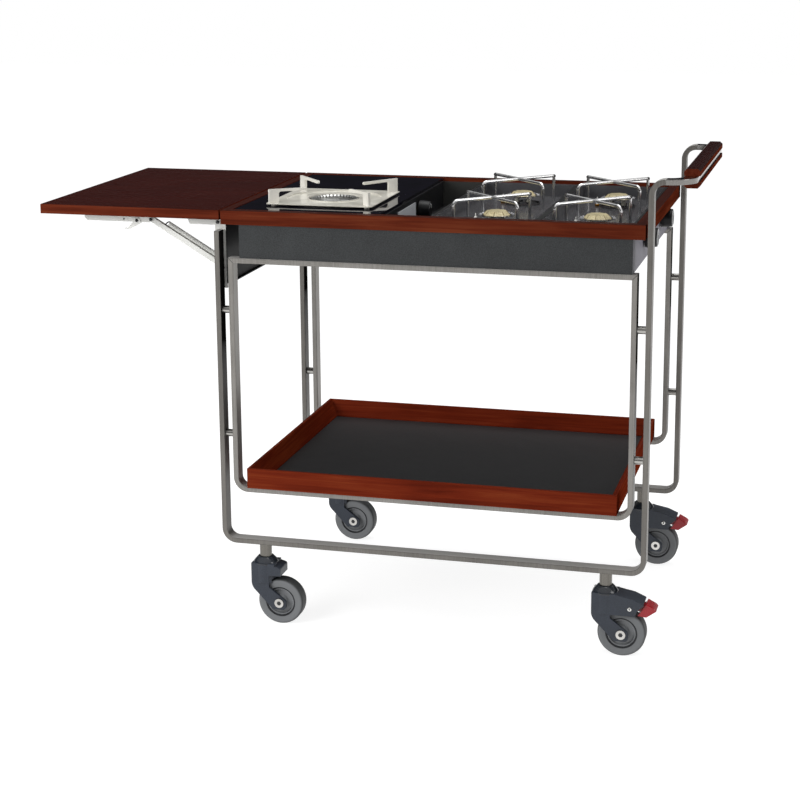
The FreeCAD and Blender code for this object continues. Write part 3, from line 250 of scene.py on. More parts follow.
def turned(profile, place, steps, axis=(0, 0, 1), closed=False):
    """A profile of (radius, height) points turned round an axis: each point is radius times the cosine
    and sine of the turn across the axis, plus its height along it. Closed joins the profile's ends into
    a ring."""
    radius, height = np.array(profile, float).T
    angle = np.linspace(0, 2 * np.pi, steps, endpoint=False)
    local = np.stack(np.broadcast_arrays(radius[:, None] * np.cos(angle), radius[:, None] * np.sin(angle),
                                         height[:, None]), axis=-1).reshape(-1, 3)
    return local @ basis(axis) + np.array(place, float), grid_faces(len(radius), steps, closed)


def carried(path, radius, sides=8):
    """A circle carried along a path: at each path point two vectors square to the path's direction span
    the circle. Both ends close to a point."""
    path = np.array(path, float)
    along = np.gradient(path, axis=0)
    along = along / np.linalg.norm(along, axis=1)[:, None]
    spread = np.ptp(path, axis=0)
    helper = np.eye(3)[np.argmin(spread)]
    first = np.cross(along, helper)
    first = first / np.linalg.norm(first, axis=1)[:, None]
    second = np.cross(along, first)
    angle = np.linspace(0, 2 * np.pi, sides, endpoint=False)[None, :, None]
    circle = np.cos(angle) * first[:, None, :] + np.sin(angle) * second[:, None, :]
    rings = path[:, None, :] + radius * circle
    start, finish = [np.repeat(end[:, None, :], sides, axis=1) for end in (path[:1], path[-1:])]
    rings = np.concatenate([start, rings, finish])
    return rings.reshape(-1, 3), grid_faces(len(path) + 2, sides, False)


def piece(name, surfaces, body, material, smooth=True):
    """One mesh piece of one or more surfaces, merged at seams and poles, with its faces turned outwards."""
    firsts = np.cumsum([0] + [len(points) for points, faces in surfaces])
    all_points = np.concatenate([points for points, faces in surfaces]) * MM
    all_faces = np.concatenate([faces + first for (points, faces), first in zip(surfaces, firsts)])
    mesh = bpy.data.meshes.new(name)
    mesh.from_pydata(all_points.tolist(), [], all_faces.tolist())
    work = bmesh.new()
    work.from_mesh(mesh)
    bmesh.ops.remove_doubles(work, verts=work.verts, dist=MERGE_DISTANCE)
    bmesh.ops.recalc_face_normals(work, faces=work.faces)
    work.to_mesh(mesh)
    work.free()
    mesh.polygons.foreach_set("use_smooth", np.full(len(mesh.polygons), smooth))
    if smooth:
        mesh.set_sharp_from_angle(angle=SHARP_ANGLE)
    mesh.materials.append(material)
    item = bpy.data.objects.new(name, mesh)
    bpy.context.scene.collection.objects.link(item)
    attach(item, body)


# Patterns that several finishes share


EDGE_SAMPLES = 6


def facing(tree, axis):
    """How far a face looks along one axis of the piece, from -1 to 1."""
    normal = put(tree, "ShaderNodeTexCoord").outputs["Normal"]
    return put(tree, "ShaderNodeSeparateXYZ", {0: normal}).outputs[axis]


def squarely(tree, axis):
    """How far a face looks along one axis of the piece, either way, from 0 to 1."""
    return put(tree, "ShaderNodeMath", {0: facing(tree, axis)}, operation="ABSOLUTE").outputs[0]


def streaked(tree, place, along, length, width, look):
    """Noise drawn out along one axis into streaks of a length and a width in millimetres; look gives the
    noise its other inputs."""
    scale = [per_metre(length if axis == along else width) for axis in "XYZ"]
    drawn = put(tree, "ShaderNodeMapping", {"Vector": place, "Scale": scale}).outputs[0]
    return put(tree, "ShaderNodeTexNoise", {"Vector": drawn, "Scale": 1.0, **look}).outputs["Fac"]


def set_relief(tree, shader, height, strength, depth, edge=0.0):
    """A fine relief of a depth in metres that follows a pattern, over edges softened by a radius in
    metres."""
    bump = put(tree, "ShaderNodeBump", {"Height": height, "Strength": strength, "Distance": depth})
    if edge:
        rounded = put(tree, "ShaderNodeBevel", {"Radius": edge}, samples=EDGE_SAMPLES)
        tree.links.new(rounded.outputs[0], bump.inputs["Normal"])
    tree.links.new(bump.outputs[0], shader.inputs["Normal"])


def mitred_place(tree, place, node):
    """The coordinates of a mitred frame of boards: beyond its corner lines, where a point lies nearer to
    an end than to a side, X and Y change places, so that the grain follows each board."""
    low, high = corners(node) * MM
    centre, half = (low + high) / 2, (high - low) / 2
    parts = put(tree, "ShaderNodeSeparateXYZ", {0: place}).outputs
    beyond = []
    for number, axis in enumerate("XY"):
        shifted = put(tree, "ShaderNodeMath", {0: parts[axis], 1: centre[number]}, operation="SUBTRACT")
        away = put(tree, "ShaderNodeMath", {0: shifted.outputs[0]}, operation="ABSOLUTE")
        past = put(tree, "ShaderNodeMath", {0: away.outputs[0], 1: half[number]}, operation="SUBTRACT")
        beyond.append(past.outputs[0])
    at_end = put(tree, "ShaderNodeMath", {0: beyond[0], 1: beyond[1]}, operation="GREATER_THAN").outputs[0]
    swapped = put(tree, "ShaderNodeCombineXYZ",
                  {"X": parts["Y"], "Y": parts["X"], "Z": parts["Z"]}).outputs[0]
    return put(tree, "ShaderNodeMix", {"Factor": at_end, "A": place, "B": swapped},
               data_type="VECTOR").outputs["Result"]


# Wood: sizes of its streaks, pores and slow clouds in millimetres, and the tones at which the stain is
# dark, deep and light
STREAK_LENGTH, STREAK_WIDTH = 260, 9
PORE_LENGTH, PORE_WIDTH = 60, 1.6
BOARD_CLOUD = 180
DARK_TONE, DEEP_TONE, LIGHT_TONE = 0.32, 0.5, 0.7


def wood(name, stain, along="X", rough=0.36, veneer=None, mitred=None):
    """Stained mahogany under satin lacquer: long soft streaks of grain in a dark, a deep and a light
    stain, fine dark pores along them, and slow changes of tone between boards. Streaks are 9 mm wide,
    coarser than real grain, so that they show. A veneer is the darker stain of a board's upper and lower
    faces, inside its solid lipping. End faces, which look along X, drink the lacquer and stay matt.
    Mitred names the node of a frame whose boards run along X and Y."""
    dark, deep, light = stain
    material, tree, shader, place = blank(name)
    if mitred:
        place = mitred_place(tree, place, mitred)
    streaks = streaked(tree, place, along, STREAK_LENGTH, STREAK_WIDTH,
                       {"Detail": 5.0, "Roughness": 0.62, "Distortion": 0.6})
    pore = streaked(tree, place, along, PORE_LENGTH, PORE_WIDTH, {"Detail": 2.0})
    cloud = put(tree, "ShaderNodeTexNoise",
                {"Vector": place, "Scale": per_metre(BOARD_CLOUD), "Detail": 2.0}).outputs["Fac"]
    tone = put(tree, "ShaderNodeMix", {"Factor": 0.3, "A": streaks, "B": cloud}).outputs["Result"]
    colour = put(tree, "ShaderNodeValToRGB", {"Fac": tone},
                 [(DARK_TONE, dark), (DEEP_TONE, deep), (LIGHT_TONE, light)]).outputs["Color"]
    if veneer:
        face = put(tree, "ShaderNodeValToRGB", {"Fac": tone},
                   [(DARK_TONE, veneer[0]), (LIGHT_TONE, veneer[1])]).outputs["Color"]
        flat = put(tree, "ShaderNodeMapRange",
                   {"Value": squarely(tree, "Z"), "From Min": 0.4, "From Max": 0.7}).outputs[0]
        colour = put(tree, "ShaderNodeMix", {"Factor": flat, "A": colour, "B": face},
                     data_type="RGBA").outputs["Result"]
    pore_mask = put(tree, "ShaderNodeMapRange",
                    {"Value": pore, "From Min": 0.62, "From Max": 0.74, "To Max": 0.45}).outputs[0]
    shaded = put(tree, "ShaderNodeMix", {"Factor": pore_mask, "A": colour, "B": linear(dark)},
                 data_type="RGBA").outputs["Result"]
    tree.links.new(shaded, shader.inputs["Base Color"])
    gloss = put(tree, "ShaderNodeMapRange",
                {"Value": streaks, "To Min": rough - 0.05, "To Max": rough + 0.07}).outputs[0]
    tree.links.new(gloss, shader.inputs["Roughness"])
    lacquer = put(tree, "ShaderNodeMapRange",
                  {"Value": squarely(tree, "X"), "From Min": 0.5, "From Max": 0.9,
                   "To Min": 0.02, "To Max": 0.0}).outputs[0]
    tree.links.new(lacquer, shader.inputs["Specular IOR Level"])
    set_relief(tree, shader, pore, strength=0.05, depth=0.4 * MM)
    return material


# Steel: streak and cloud sizes in millimetres, the heights in metres between which the painted side shade
# fades, how much of it stays lowest down, and the colour of level faces, a painted highlight
BRUSH_LENGTH, BRUSH_WIDTH = 120, 2
STEEL_CLOUD = 90
STEEL_STOPS = (0.3, 0.7)
SHADE_FADES_BELOW, SHADE_FULL_ABOVE = 0.36, 0.62
SHADE_LEFT_LOW = 0.35
LIT_TOP_STEEL = "#A3A19E"


def painted_side_shade(tree, place, gap):
    """How much painted shade a face takes: the side of the trolley's middle that it lies on times the way it
    looks along X is 1 for outwards and -1 for inwards, the gap says which of them is painted dark, and low
    down less of the painted shade is left."""
    parts = put(tree, "ShaderNodeSeparateXYZ", {0: place}).outputs
    middle = corners("tray_panel")[:, 0].mean() * MM
    half = put(tree, "ShaderNodeMath", {0: parts["X"], 1: middle}, operation="SUBTRACT").outputs[0]
    half = put(tree, "ShaderNodeMath", {0: half}, operation="SIGN").outputs[0]
    outward = put(tree, "ShaderNodeMath", {0: half, 1: facing(tree, "X")}, operation="MULTIPLY").outputs[0]
    shaded_side = put(tree, "ShaderNodeMapRange",
                 {"Value": outward, "From Min": 0.5 * gap, "From Max": 0.8 * gap}).outputs[0]
    shade_fade = put(tree, "ShaderNodeMapRange",
                 {"Value": parts["Z"], "From Min": SHADE_FADES_BELOW, "From Max": SHADE_FULL_ABOVE,
                  "To Min": SHADE_LEFT_LOW}).outputs[0]
    return put(tree, "ShaderNodeMath", {0: shaded_side, 1: shade_fade}, operation="MULTIPLY").outputs[0]


def brushed(name, dark, light, rough, along, edge=0.0, metallic=1.0, side_shade=None, gap=1):
    """Brushed steel: fine streaks along the bar that stretch each highlight, drawn 2 mm wide so that they
    show. With a side shade, a second pair of colours, the faces that an outer and an inner upright turn to
    each other are painted matt and near black, a painted shade and painted reflection that fades lower down,
    and level faces are painted paler and matt, a painted highlight. Gap is 1 for bars whose painted shade
    lies on faces that look away from the middle of the trolley, -1 for those whose painted shade lies on
    faces that look towards it."""
    material, tree, shader, place = blank(name, {"Metallic": metallic})
    streaks = streaked(tree, place, along, BRUSH_LENGTH, BRUSH_WIDTH, {"Detail": 4.0})
    cloud = put(tree, "ShaderNodeTexNoise",
                {"Vector": place, "Scale": per_metre(STEEL_CLOUD), "Detail": 3.0}).outputs["Fac"]
    tone = put(tree, "ShaderNodeMix", {"Factor": 0.45, "A": streaks, "B": cloud}).outputs["Result"]
    colour = put(tree, "ShaderNodeValToRGB", {"Fac": tone},
                 list(zip(STEEL_STOPS, (dark, light)))).outputs["Color"]
    if side_shade:
        # Faces that the uprights turn to each other: painted shade and painted reflection, fading lower
        # down.
        shaded_side = painted_side_shade(tree, place, gap)
        side_shade_colour = put(tree, "ShaderNodeValToRGB", {"Fac": tone},
                          list(zip(STEEL_STOPS, side_shade))).outputs["Color"]
        colour = put(tree, "ShaderNodeMix", {"Factor": shaded_side, "A": colour, "B": side_shade_colour},
                     data_type="RGBA").outputs["Result"]
        # Level faces: a painted highlight, paler and less metallic.
        lit_top = put(tree, "ShaderNodeMapRange",
                     {"Value": squarely(tree, "Z"), "From Min": 0.6, "From Max": 0.9}).outputs[0]
        colour = put(tree, "ShaderNodeMix", {"Factor": lit_top, "A": colour, "B": linear(LIT_TOP_STEEL)},
                     data_type="RGBA").outputs["Result"]
        sheen = put(tree, "ShaderNodeMapRange",
                    {"Value": lit_top, "To Min": metallic, "To Max": 0.1}).outputs[0]
        face_mask = put(tree, "ShaderNodeMapRange", {"Value": shaded_side, "To Min": 1.0, "To Max": 0.0}).outputs[0]
        sheen = put(tree, "ShaderNodeMath", {0: sheen, 1: face_mask}, operation="MULTIPLY").outputs[0]
        tree.links.new(sheen, shader.inputs["Metallic"])
        shine = put(tree, "ShaderNodeMath", {0: face_mask, 1: 0.5}, operation="MULTIPLY").outputs[0]
        tree.links.new(shine, shader.inputs["Specular IOR Level"])
    tree.links.new(colour, shader.inputs["Base Color"])
    gloss = put(tree, "ShaderNodeMapRange",
                {"Value": streaks, "To Min": rough - 0.07, "To Max": rough + 0.1}).outputs[0]
    tree.links.new(gloss, shader.inputs["Roughness"])
    set_relief(tree, shader, streaks, strength=0.06, depth=0.5 * MM, edge=edge)
    return material


# Paint, plastic and polish: cloud and smear sizes in millimetres, and where a tone turns dark and light
PAINT_CLOUD = 60
SMEAR = 35
TONE_STOPS = (0.35, 0.65)


def moulded(name, dark, light, rough=0.45, grain=1.2, depth=0.4 * MM, specular=0.5, edge=0.0, side=None):
    """Moulded plastic or painted metal: a fine pebbled surface, with pebbles of a grain size in millimetres,
    that breaks up the highlight, and a slight change of tone. A side is an axis and the colour of the faces
    that look along it. These are a tyre's lighter wall, the gas box's end walls painted paler as painted
    light, and the deck's faces along Y painted grey, partly a paler steel wall and partly painted light."""
    material, tree, shader, place = blank(name, {"Specular IOR Level": specular})
    pebble = put(tree, "ShaderNodeTexNoise",
                 {"Vector": place, "Scale": per_metre(grain), "Detail": 3.0}).outputs["Fac"]
    cloud = put(tree, "ShaderNodeTexNoise",
                {"Vector": place, "Scale": per_metre(PAINT_CLOUD), "Detail": 2.0}).outputs["Fac"]
    tone = put(tree, "ShaderNodeMix", {"Factor": 0.25, "A": pebble, "B": cloud}).outputs["Result"]
    colour = put(tree, "ShaderNodeValToRGB", {"Fac": tone},
                 list(zip(TONE_STOPS, (dark, light)))).outputs["Color"]
    if side:
        axis, side_colour = side
        face_mask = put(tree, "ShaderNodeMapRange",
                   {"Value": squarely(tree, axis), "From Min": 0.6, "From Max": 0.95}).outputs[0]
        colour = put(tree, "ShaderNodeMix", {"Factor": face_mask, "A": colour, "B": linear(side_colour)},
                     data_type="RGBA").outputs["Result"]
    tree.links.new(colour, shader.inputs["Base Color"])
    gloss = put(tree, "ShaderNodeMapRange",
                {"Value": cloud, "To Min": rough - 0.06, "To Max": rough + 0.06}).outputs[0]
    tree.links.new(gloss, shader.inputs["Roughness"])
    set_relief(tree, shader, pebble, strength=0.12, depth=depth, edge=edge)
    return material


def polished(name, dark, light, metallic, rough, coat=0.0, edge=0.0):
    """Polished metal, glass or enamel: an even tone with faint smears that vary the gloss."""
    material, tree, shader, place = blank(name, {"Metallic": metallic, "Coat Weight": coat,
                                                 "Coat Roughness": 0.05})
    smear = put(tree, "ShaderNodeTexNoise",
                {"Vector": place, "Scale": per_metre(SMEAR), "Detail": 4.0}).outputs["Fac"]
    colour = put(tree, "ShaderNodeValToRGB", {"Fac": smear},
                 list(zip(TONE_STOPS, (dark, light)))).outputs["Color"]
    tree.links.new(colour, shader.inputs["Base Color"])
    gloss = put(tree, "ShaderNodeMapRange",
                {"Value": smear, "To Min": rough * 0.7, "To Max": rough * 1.3}).outputs[0]
    tree.links.new(gloss, shader.inputs["Roughness"])
    if edge:
        rounded = put(tree, "ShaderNodeBevel", {"Radius": edge}, samples=EDGE_SAMPLES)
        tree.links.new(rounded.outputs[0], shader.inputs["Normal"])
    return material


# A small burner's bands from the floor up: where each starts as a share of the height, its colour, and
# its metallic and roughness as greys
BURNER_BANDS = ((0.0, "#B4B4B6", WHITE, "#383838"),
                (0.16, "#D8D6CC", BLACK, "#707070"),
                (0.63, "#A6A49E", WHITE, "#484848"),
                (0.72, "#D9CDA4", BLACK, "#A0A0A0"))
BRASS_SPECKLE = 2.5


def burner_finish(name):
    """A small burner from the floor up: a chromed dish, two white glazed posts, a chromed plate and a cap
    of cream sintered brass. The bands follow the height; the cap is matt and speckled, the dish mirrors
    its tray."""
    material, tree, shader, place = blank(name)
    low, high = corners("burner_left_front")[:, 2] * MM
    height = put(tree, "ShaderNodeSeparateXYZ", {0: place}).outputs["Z"]
    level = put(tree, "ShaderNodeMapRange",
                {"Value": height, "From Min": low, "From Max": high}).outputs[0]
    starts, *looks = zip(*BURNER_BANDS)
    colour, metal, gloss = [put(tree, "ShaderNodeValToRGB", {"Fac": level}, list(zip(starts, codes)),
                                "CONSTANT").outputs["Color"] for codes in looks]
    speckle = put(tree, "ShaderNodeTexNoise",
                  {"Vector": place, "Scale": per_metre(BRASS_SPECKLE), "Detail": 3.0}).outputs["Fac"]
    tone = put(tree, "ShaderNodeValToRGB", {"Fac": speckle},
               list(zip(TONE_STOPS, ("#C8C4BC", WHITE)))).outputs["Color"]
    shaded = put(tree, "ShaderNodeMix", {"Factor": 1.0, "A": colour, "B": tone}, data_type="RGBA",
                 blend_type="MULTIPLY").outputs["Result"]
    tree.links.new(shaded, shader.inputs["Base Color"])
    tree.links.new(metal, shader.inputs["Metallic"])
    tree.links.new(gloss, shader.inputs["Roughness"])
    return material


def dress(material, *names):
    """Give the named nodes one material."""
    for name in names:
        item = frame["nodes"][name]
        item.data.materials.clear()
        item.data.materials.append(material)


def dress_wood():
    """The top's edges, the grip and the leaf in one stain with darker flat faces, and the tray's frame in
    a redder one."""
    stain = ("#3E160C", "#582314", "#6C3520")
    shade = ("#2A100C", "#3C1A12")
    dress(wood("mahogany_lacquer_long", stain, veneer=shade), "top_long_rails")
    dress(wood("mahogany_lacquer_across", stain, "Y", veneer=shade), "top_end_rails")
    dress(wood("mahogany_lacquer_grip", stain, "Y", rough=0.25, veneer=("#1E0908", "#2A0F0D")),
          "grip_upper", "grip_lower")
    dress(wood("mahogany_lacquer_leaf", stain, rough=0.25, veneer=("#280B08", "#35110C")), "leaf_top")
    dress(wood("mahogany_lacquer_tray", ("#4E170B", "#6A2412", "#7E361C"), mitred="tray_rails"),
          "tray_rails")


def dress_frame():
    """Bent flat bars with painted shade on the faces that the uprights turn to each other and painted
    highlights on their level faces, turned spacers, the bright handle, and painted boxes, plates and
    brackets."""
    # Near black colours for the faces that the uprights turn to each other: painted shade and painted
    # reflection.
    side_shade = ("#171615", "#232120")
    dress(brushed("side_shaded_steel_outer", "#625F5B", "#807D78", 0.4, "Z", edge=3.5 * MM, metallic=0.6,
                  side_shade=side_shade, gap=-1), "front_outer_frame", "rear_outer_frame")
    dress(brushed("side_shaded_steel_inner", "#76736E", "#979490", 0.4, "Z", edge=3.5 * MM, metallic=0.6,
                  side_shade=side_shade, gap=1), "front_inner_loop", "rear_inner_loop")
    dress(brushed("turned_steel_spacer", "#8F8D89", "#B4B2AE", 0.25, "X"), "frame_spacers")
    dress(brushed("bright_steel_handle", "#7A7875", "#9C9A97", 0.14, "Y", edge=2.0 * MM), "handle_bar")
    # The gas box's end walls, which look along X, are painted pale grey: painted light where they catch the
    # light at a grazing angle.
    dress(moulded("charcoal_powder_coat", "#28292A", "#3B3D3E", rough=0.6, grain=1.8, depth=1.0 * MM,
                  specular=0.3, side=("X", "#7E7C84")), "gas_box")
    # The deck's faces that look along Y, the well's rear wall among them, are painted grey: partly a paler
    # steel wall, partly painted light.
    dress(moulded("black_satin_paint", "#0E0E10", "#18181B", rough=0.4, grain=1.5,
                  side=("Y", "#3C3C3A")), "top_deck")
    dress(moulded("black_matt_paint", "#08080A", "#101012", rough=0.6, grain=1.5, specular=0.25),
          "end_plate")
    dress(moulded("black_laminate", "#1E1E1F", "#2A2A2B", rough=0.5, grain=1.5, depth=0.3 * MM,
                  specular=0.3), "tray_panel")
    dress(moulded("white_bracket_paint", "#CFCFCB", "#E0E0DC", rough=0.36, grain=1.5, depth=0.3 * MM),
          "bracket_posts", "bracket_arms", "bracket_struts", "bracket_lever_front", "bracket_lever_rear")


def dress_hob():
    """The hob's glass and enamel, the burner trays with their burners and trivets, the taps and knobs."""
    dress(polished("black_hob_glass", "#0A0910", "#0F0D17", metallic=0.0, rough=0.03), "hob_glass")
    dress(polished("ivory_enamel", "#C4C1B6", "#D3D0C6", metallic=0.0, rough=0.22, coat=0.2,
                   edge=1.2 * MM), "drip_plate")
    dress(polished("white_enamel", "#DAD7CE", "#E8E5DD", metallic=0.0, rough=0.25, coat=0.2,
                   edge=0.8 * MM), "pan_prongs")
    dress(polished("cast_aluminium", "#ACACAA", "#D6D6D3", metallic=1.0, rough=0.36),
          "burner_ring", "burner_cap")
    dress(brushed("stainless_tray", "#57575A", "#757578", 0.2, "Y", metallic=0.5),
          "burner_tray_left", "burner_tray_right")
    dress(burner_finish("burner_chrome_ceramic_brass"), *[f"burner_{spot}" for spot in SPOTS])
    dress(polished("satin_brass", "#8F7A4E", "#C5B07E", metallic=1.0, rough=0.3), "gas_taps")
    dress(polished("chrome_wire", "#D4D4D4", "#F0F0F0", metallic=1.0, rough=0.22),
          *[f"trivet_{spot}" for spot in SPOTS])
    dress(moulded("black_knob_plastic", "#0C0C0D", "#151517", rough=0.35, grain=1.0, depth=0.2 * MM,
                  specular=0.2), "end_knob_front", "end_knob_rear", "hob_knob")
    dress(moulded("pale_plate_paint", "#B8BABE", "#CACCD0", depth=0.2 * MM), "control_plate")


def dress_casters():
    """Nylon forks on steel stems, zinc axles, grey hubs and tyres, and red brake pedals."""
    dress(moulded("caster_nylon", "#252A32", "#343A45", rough=0.42, grain=1.4, specular=0.45,
                  edge=2.0 * MM), *[f"fork_{name}" for name in CASTERS])
    dress(polished("bright_zinc", "#B4B2AE", "#DAD8D4", metallic=1.0, rough=0.22),
          *[f"axle_{name}" for name in CASTERS])
    dress(brushed("stem_steel", "#5A5753", "#7A7771", 0.25, "Z"), "caster_stems")
    dress(moulded("hub_grey_plastic", "#6E7072", "#85878A", rough=0.38),
          *[f"hub_{name}" for name in CASTERS])
    dress(moulded("grey_tyre_rubber", "#3C3D3E", "#484A4B", rough=0.6, grain=1.6, depth=0.5 * MM,
                  specular=0.35, side=("Y", "#77797B")), *[f"tyre_{name}" for name in CASTERS])
    dress(moulded("red_pedal_plastic", "#8E141C", "#B0242D", rough=0.32),
          *[f"pedal_{name}" for name in BRAKED])


# Small pieces: sections are (radius, height) points


STRUT_PIN_OUT = 152.0
STOP_PIN_OUT, STOP_PIN_DROP = 213.0, 1.0
ARM_INSET, LEVER_INSET = 2.5, 0.1


def bracket_springs(coil, hook):
    """A close-wound tension spring on the upper side of each strut: a helix whose axis runs along the
    strut, almost eleven millimetres wide, with a wire hook bent down to the strut at either end."""
    first, last, pitch = 14.0, 151.0, 2.0
    radius, wire, hook_wire = 4.4, 0.95, 1.3
    offset, inset = 11.75, 5.0
    points_in_turn = 14
    # The hook's bends: how far past the coil's end, and how far above the strut's line
    bends = ((0, offset + radius), (3, offset + 2.5), (5, offset - 1.5), (6, 4.6))
    lower = pivot("strut_fold")
    upper = pivot("leaf_fold") - np.array((STRUT_PIN_OUT, 0, 0))
    along = (upper - lower) / np.linalg.norm(upper - lower)
    lift = np.array((along[2], 0, -along[0]))
    across = np.array((0, 1.0, 0))
    turns = (last - first) / pitch
    share = np.linspace(0, 1, int(turns * points_in_turn))[:, None]
    angle = 2 * np.pi * turns * share
    for side, sign in OUTWARD.items():
        base = lower + across * sign * (corners("bracket_struts")[1, 1] - inset)
        axis_line = base + along * (first + (last - first) * share) + lift * offset
        helix = axis_line + radius * (np.cos(angle) * lift + np.sin(angle) * across)
        piece(f"bracket_spring_{side}", [carried(helix, wire, 6)], "struts", coil)
        hooks = []
        for end, step in ((last, 1), (first, -1)):
            path = [base + along * (end + past * step) + lift * up for past, up in bends]
            hooks.append(carried(path, hook_wire))
        piece(f"bracket_hooks_{side}", hooks, "struts", hook)


def head(radius, height):
    """Half of a flattened rivet head's section: an upright rim of three tenths of its height, then a
    quarter of an ellipse from the rim to the crown."""
    rim = 0.3 * height
    turn = np.linspace(0, np.pi / 2, 6)
    return [(0, 0), (radius, 0)] + list(zip(radius * np.cos(turn), rim + (height - rim) * np.sin(turn)))


def bracket_pins(black):
    """Flattened rivet heads at the bracket's pins, each a section turned round its pin, on the outer faces
    of the posts, arms and levers."""
    hinge, lower = pivot("leaf_fold"), pivot("strut_fold")
    strut_pin = hinge - np.array((STRUT_PIN_OUT, 0, 0))
    stop_pin = hinge - np.array((STOP_PIN_OUT, 0, STOP_PIN_DROP))
    post_face = corners("bracket_posts")[1, 1]
    arm_face, lever_face = post_face - ARM_INSET, post_face - LEVER_INSET
    for side, sign in OUTWARD.items():
        out = np.array((0, sign, 0))
        lever_pin = pivot(f"lever_{side}_press") * np.array((1, 0, 1))
        piece(f"post_pin_heads_{side}", [turned(head(4.0, 1.4), hinge + out * post_face, 20, out),
                                         turned(head(3.4, 1.2), lower + out * post_face, 20, out)],
              "trolley", black)
        piece(f"arm_pin_heads_{side}", [turned(head(3.6, 1.2), strut_pin + out * arm_face, 20, out),
                                        turned(head(1.6, 0.8), stop_pin + out * arm_face, 16, out)],
              "leaf", black)
        piece(f"lever_pin_head_{side}", [turned(head(3.4, 1.9), lever_pin + out * lever_face, 20, out)],
              "leaf", black)


KNOB_RING = [(15.4, -0.3), (17.2, -0.3), (17.2, 0.25), (16.7, 0.55), (15.9, 0.55), (15.4, 0.25)]
POINTER_START, POINTER_END, POINTER_RADIUS = 5, 13.5, 0.8


def knob_marks(rim, mark):
    """On the face of each knob a raised bright ring, a section turned round the knob's axis, and a short
    pointer, a straight bar from near the middle up towards the ring."""
    for name in ("end_knob_front", "end_knob_rear", "hob_knob"):
        low, high = corners(name)
        centre = np.array((high[0], (low[1] + high[1]) / 2, (low[2] + high[2]) / 2))
        ring = turned(KNOB_RING, centre, 48, (1, 0, 0), closed=True)
        piece(f"{name}_ring", [ring], name, rim)
        bar = np.linspace(POINTER_START, POINTER_END, 6)[:, None] * np.array((0, 0, 1.0)) + centre
        piece(f"{name}_pointer", [carried(bar, POINTER_RADIUS)], name, mark)


IGNITER_GAP = 7.0
IGNITER_NUT = [(0, 0), (5.6, 0), (5.6, 4.4), (4.8, 5.0), (0, 5.0)]
IGNITER_ROD = [(0, 5.0), (3.0, 5.0), (3.0, 13.4), (2.4, 14.4), (1.1, 15.0), (1.1, 20.4), (0, 21.0)]


def igniters(nut, ceramic):
    """A spark igniter left of each small burner: a hexagonal nut, and a glazed rod with a thin electrode,
    both sections turned round an upright axis."""
    nuts, rods = [], []
    for spot in SPOTS:
        low, high = corners(f"burner_{spot}")
        foot = np.array((low[0] - IGNITER_GAP, (low[1] + high[1]) / 2, low[2]))
        nuts.append(turned(IGNITER_NUT, foot, 6))
        rods.append(turned(IGNITER_ROD, foot, 20))
    piece("igniter_nuts", nuts, "trolley", nut, False)
    piece("igniter_rods", rods, "trolley", ceramic)


CAP_HEIGHT = 8.0
CAP_EDGES = 8
SEAM_FOOT, SEAM_TOP, SEAM_RISE, SEAM_RADIUS = 28.6, 20.8, 7.9, 0.8
RING_INNER, RING_MIDDLE, RING_OUTER = 28.5, 33.0, 37.4
FLAME_RING = [(RING_INNER, -1.9), (RING_MIDDLE, -1.5), (RING_OUTER, -0.4), (RING_OUTER, 0.3),
              (RING_MIDDLE, -0.8), (RING_INNER, -1.2)]
FLUTES, FLUTE_HEIGHT = 24, 0.9


def burner_crowns(chrome, seam):
    """Round each small burner's cap a fluted flame ring: a section that rises outwards, turned round the
    cap, plus a cosine wave up and down, 24 times in one turn and higher towards the rim. On the cap a
    thin dark joint along each of its eight edges: a straight wire from the edge's foot to its top."""
    for spot in SPOTS:
        low, high = corners(f"burner_{spot}")
        centre = np.array(((low[0] + high[0]) / 2, (low[1] + high[1]) / 2, high[2] - CAP_HEIGHT))
        points, faces = turned(FLAME_RING, centre, 8 * FLUTES, closed=True)
        across = points[:, :2] - centre[:2]
        share = (np.linalg.norm(across, axis=1) - RING_INNER) / (RING_OUTER - RING_INNER)
        wave = np.cos(FLUTES * np.arctan2(across[:, 1], across[:, 0]))
        points[:, 2] += FLUTE_HEIGHT * share * wave
        piece(f"burner_crown_{spot}", [(points, faces)], "trolley", chrome)
        seams = []
        for turn in np.arange(CAP_EDGES) * 2 * np.pi / CAP_EDGES:
            ray = np.array((np.cos(turn), np.sin(turn), 0))
            foot = centre + SEAM_FOOT * ray
            top = centre + SEAM_TOP * ray + np.array((0, 0, SEAM_RISE))
            seams.append(carried(np.linspace(foot, top, 5), SEAM_RADIUS, 6))
        piece(f"burner_seams_{spot}", seams, "trolley", seam)


STRIP_WIDTH, STRIP_INSET = 5.5, 1
STRIP_RISE, STRIP_HALF = 0.45, 0.65
STRIP_SIDES, STRIP_POWER = 24, 0.4


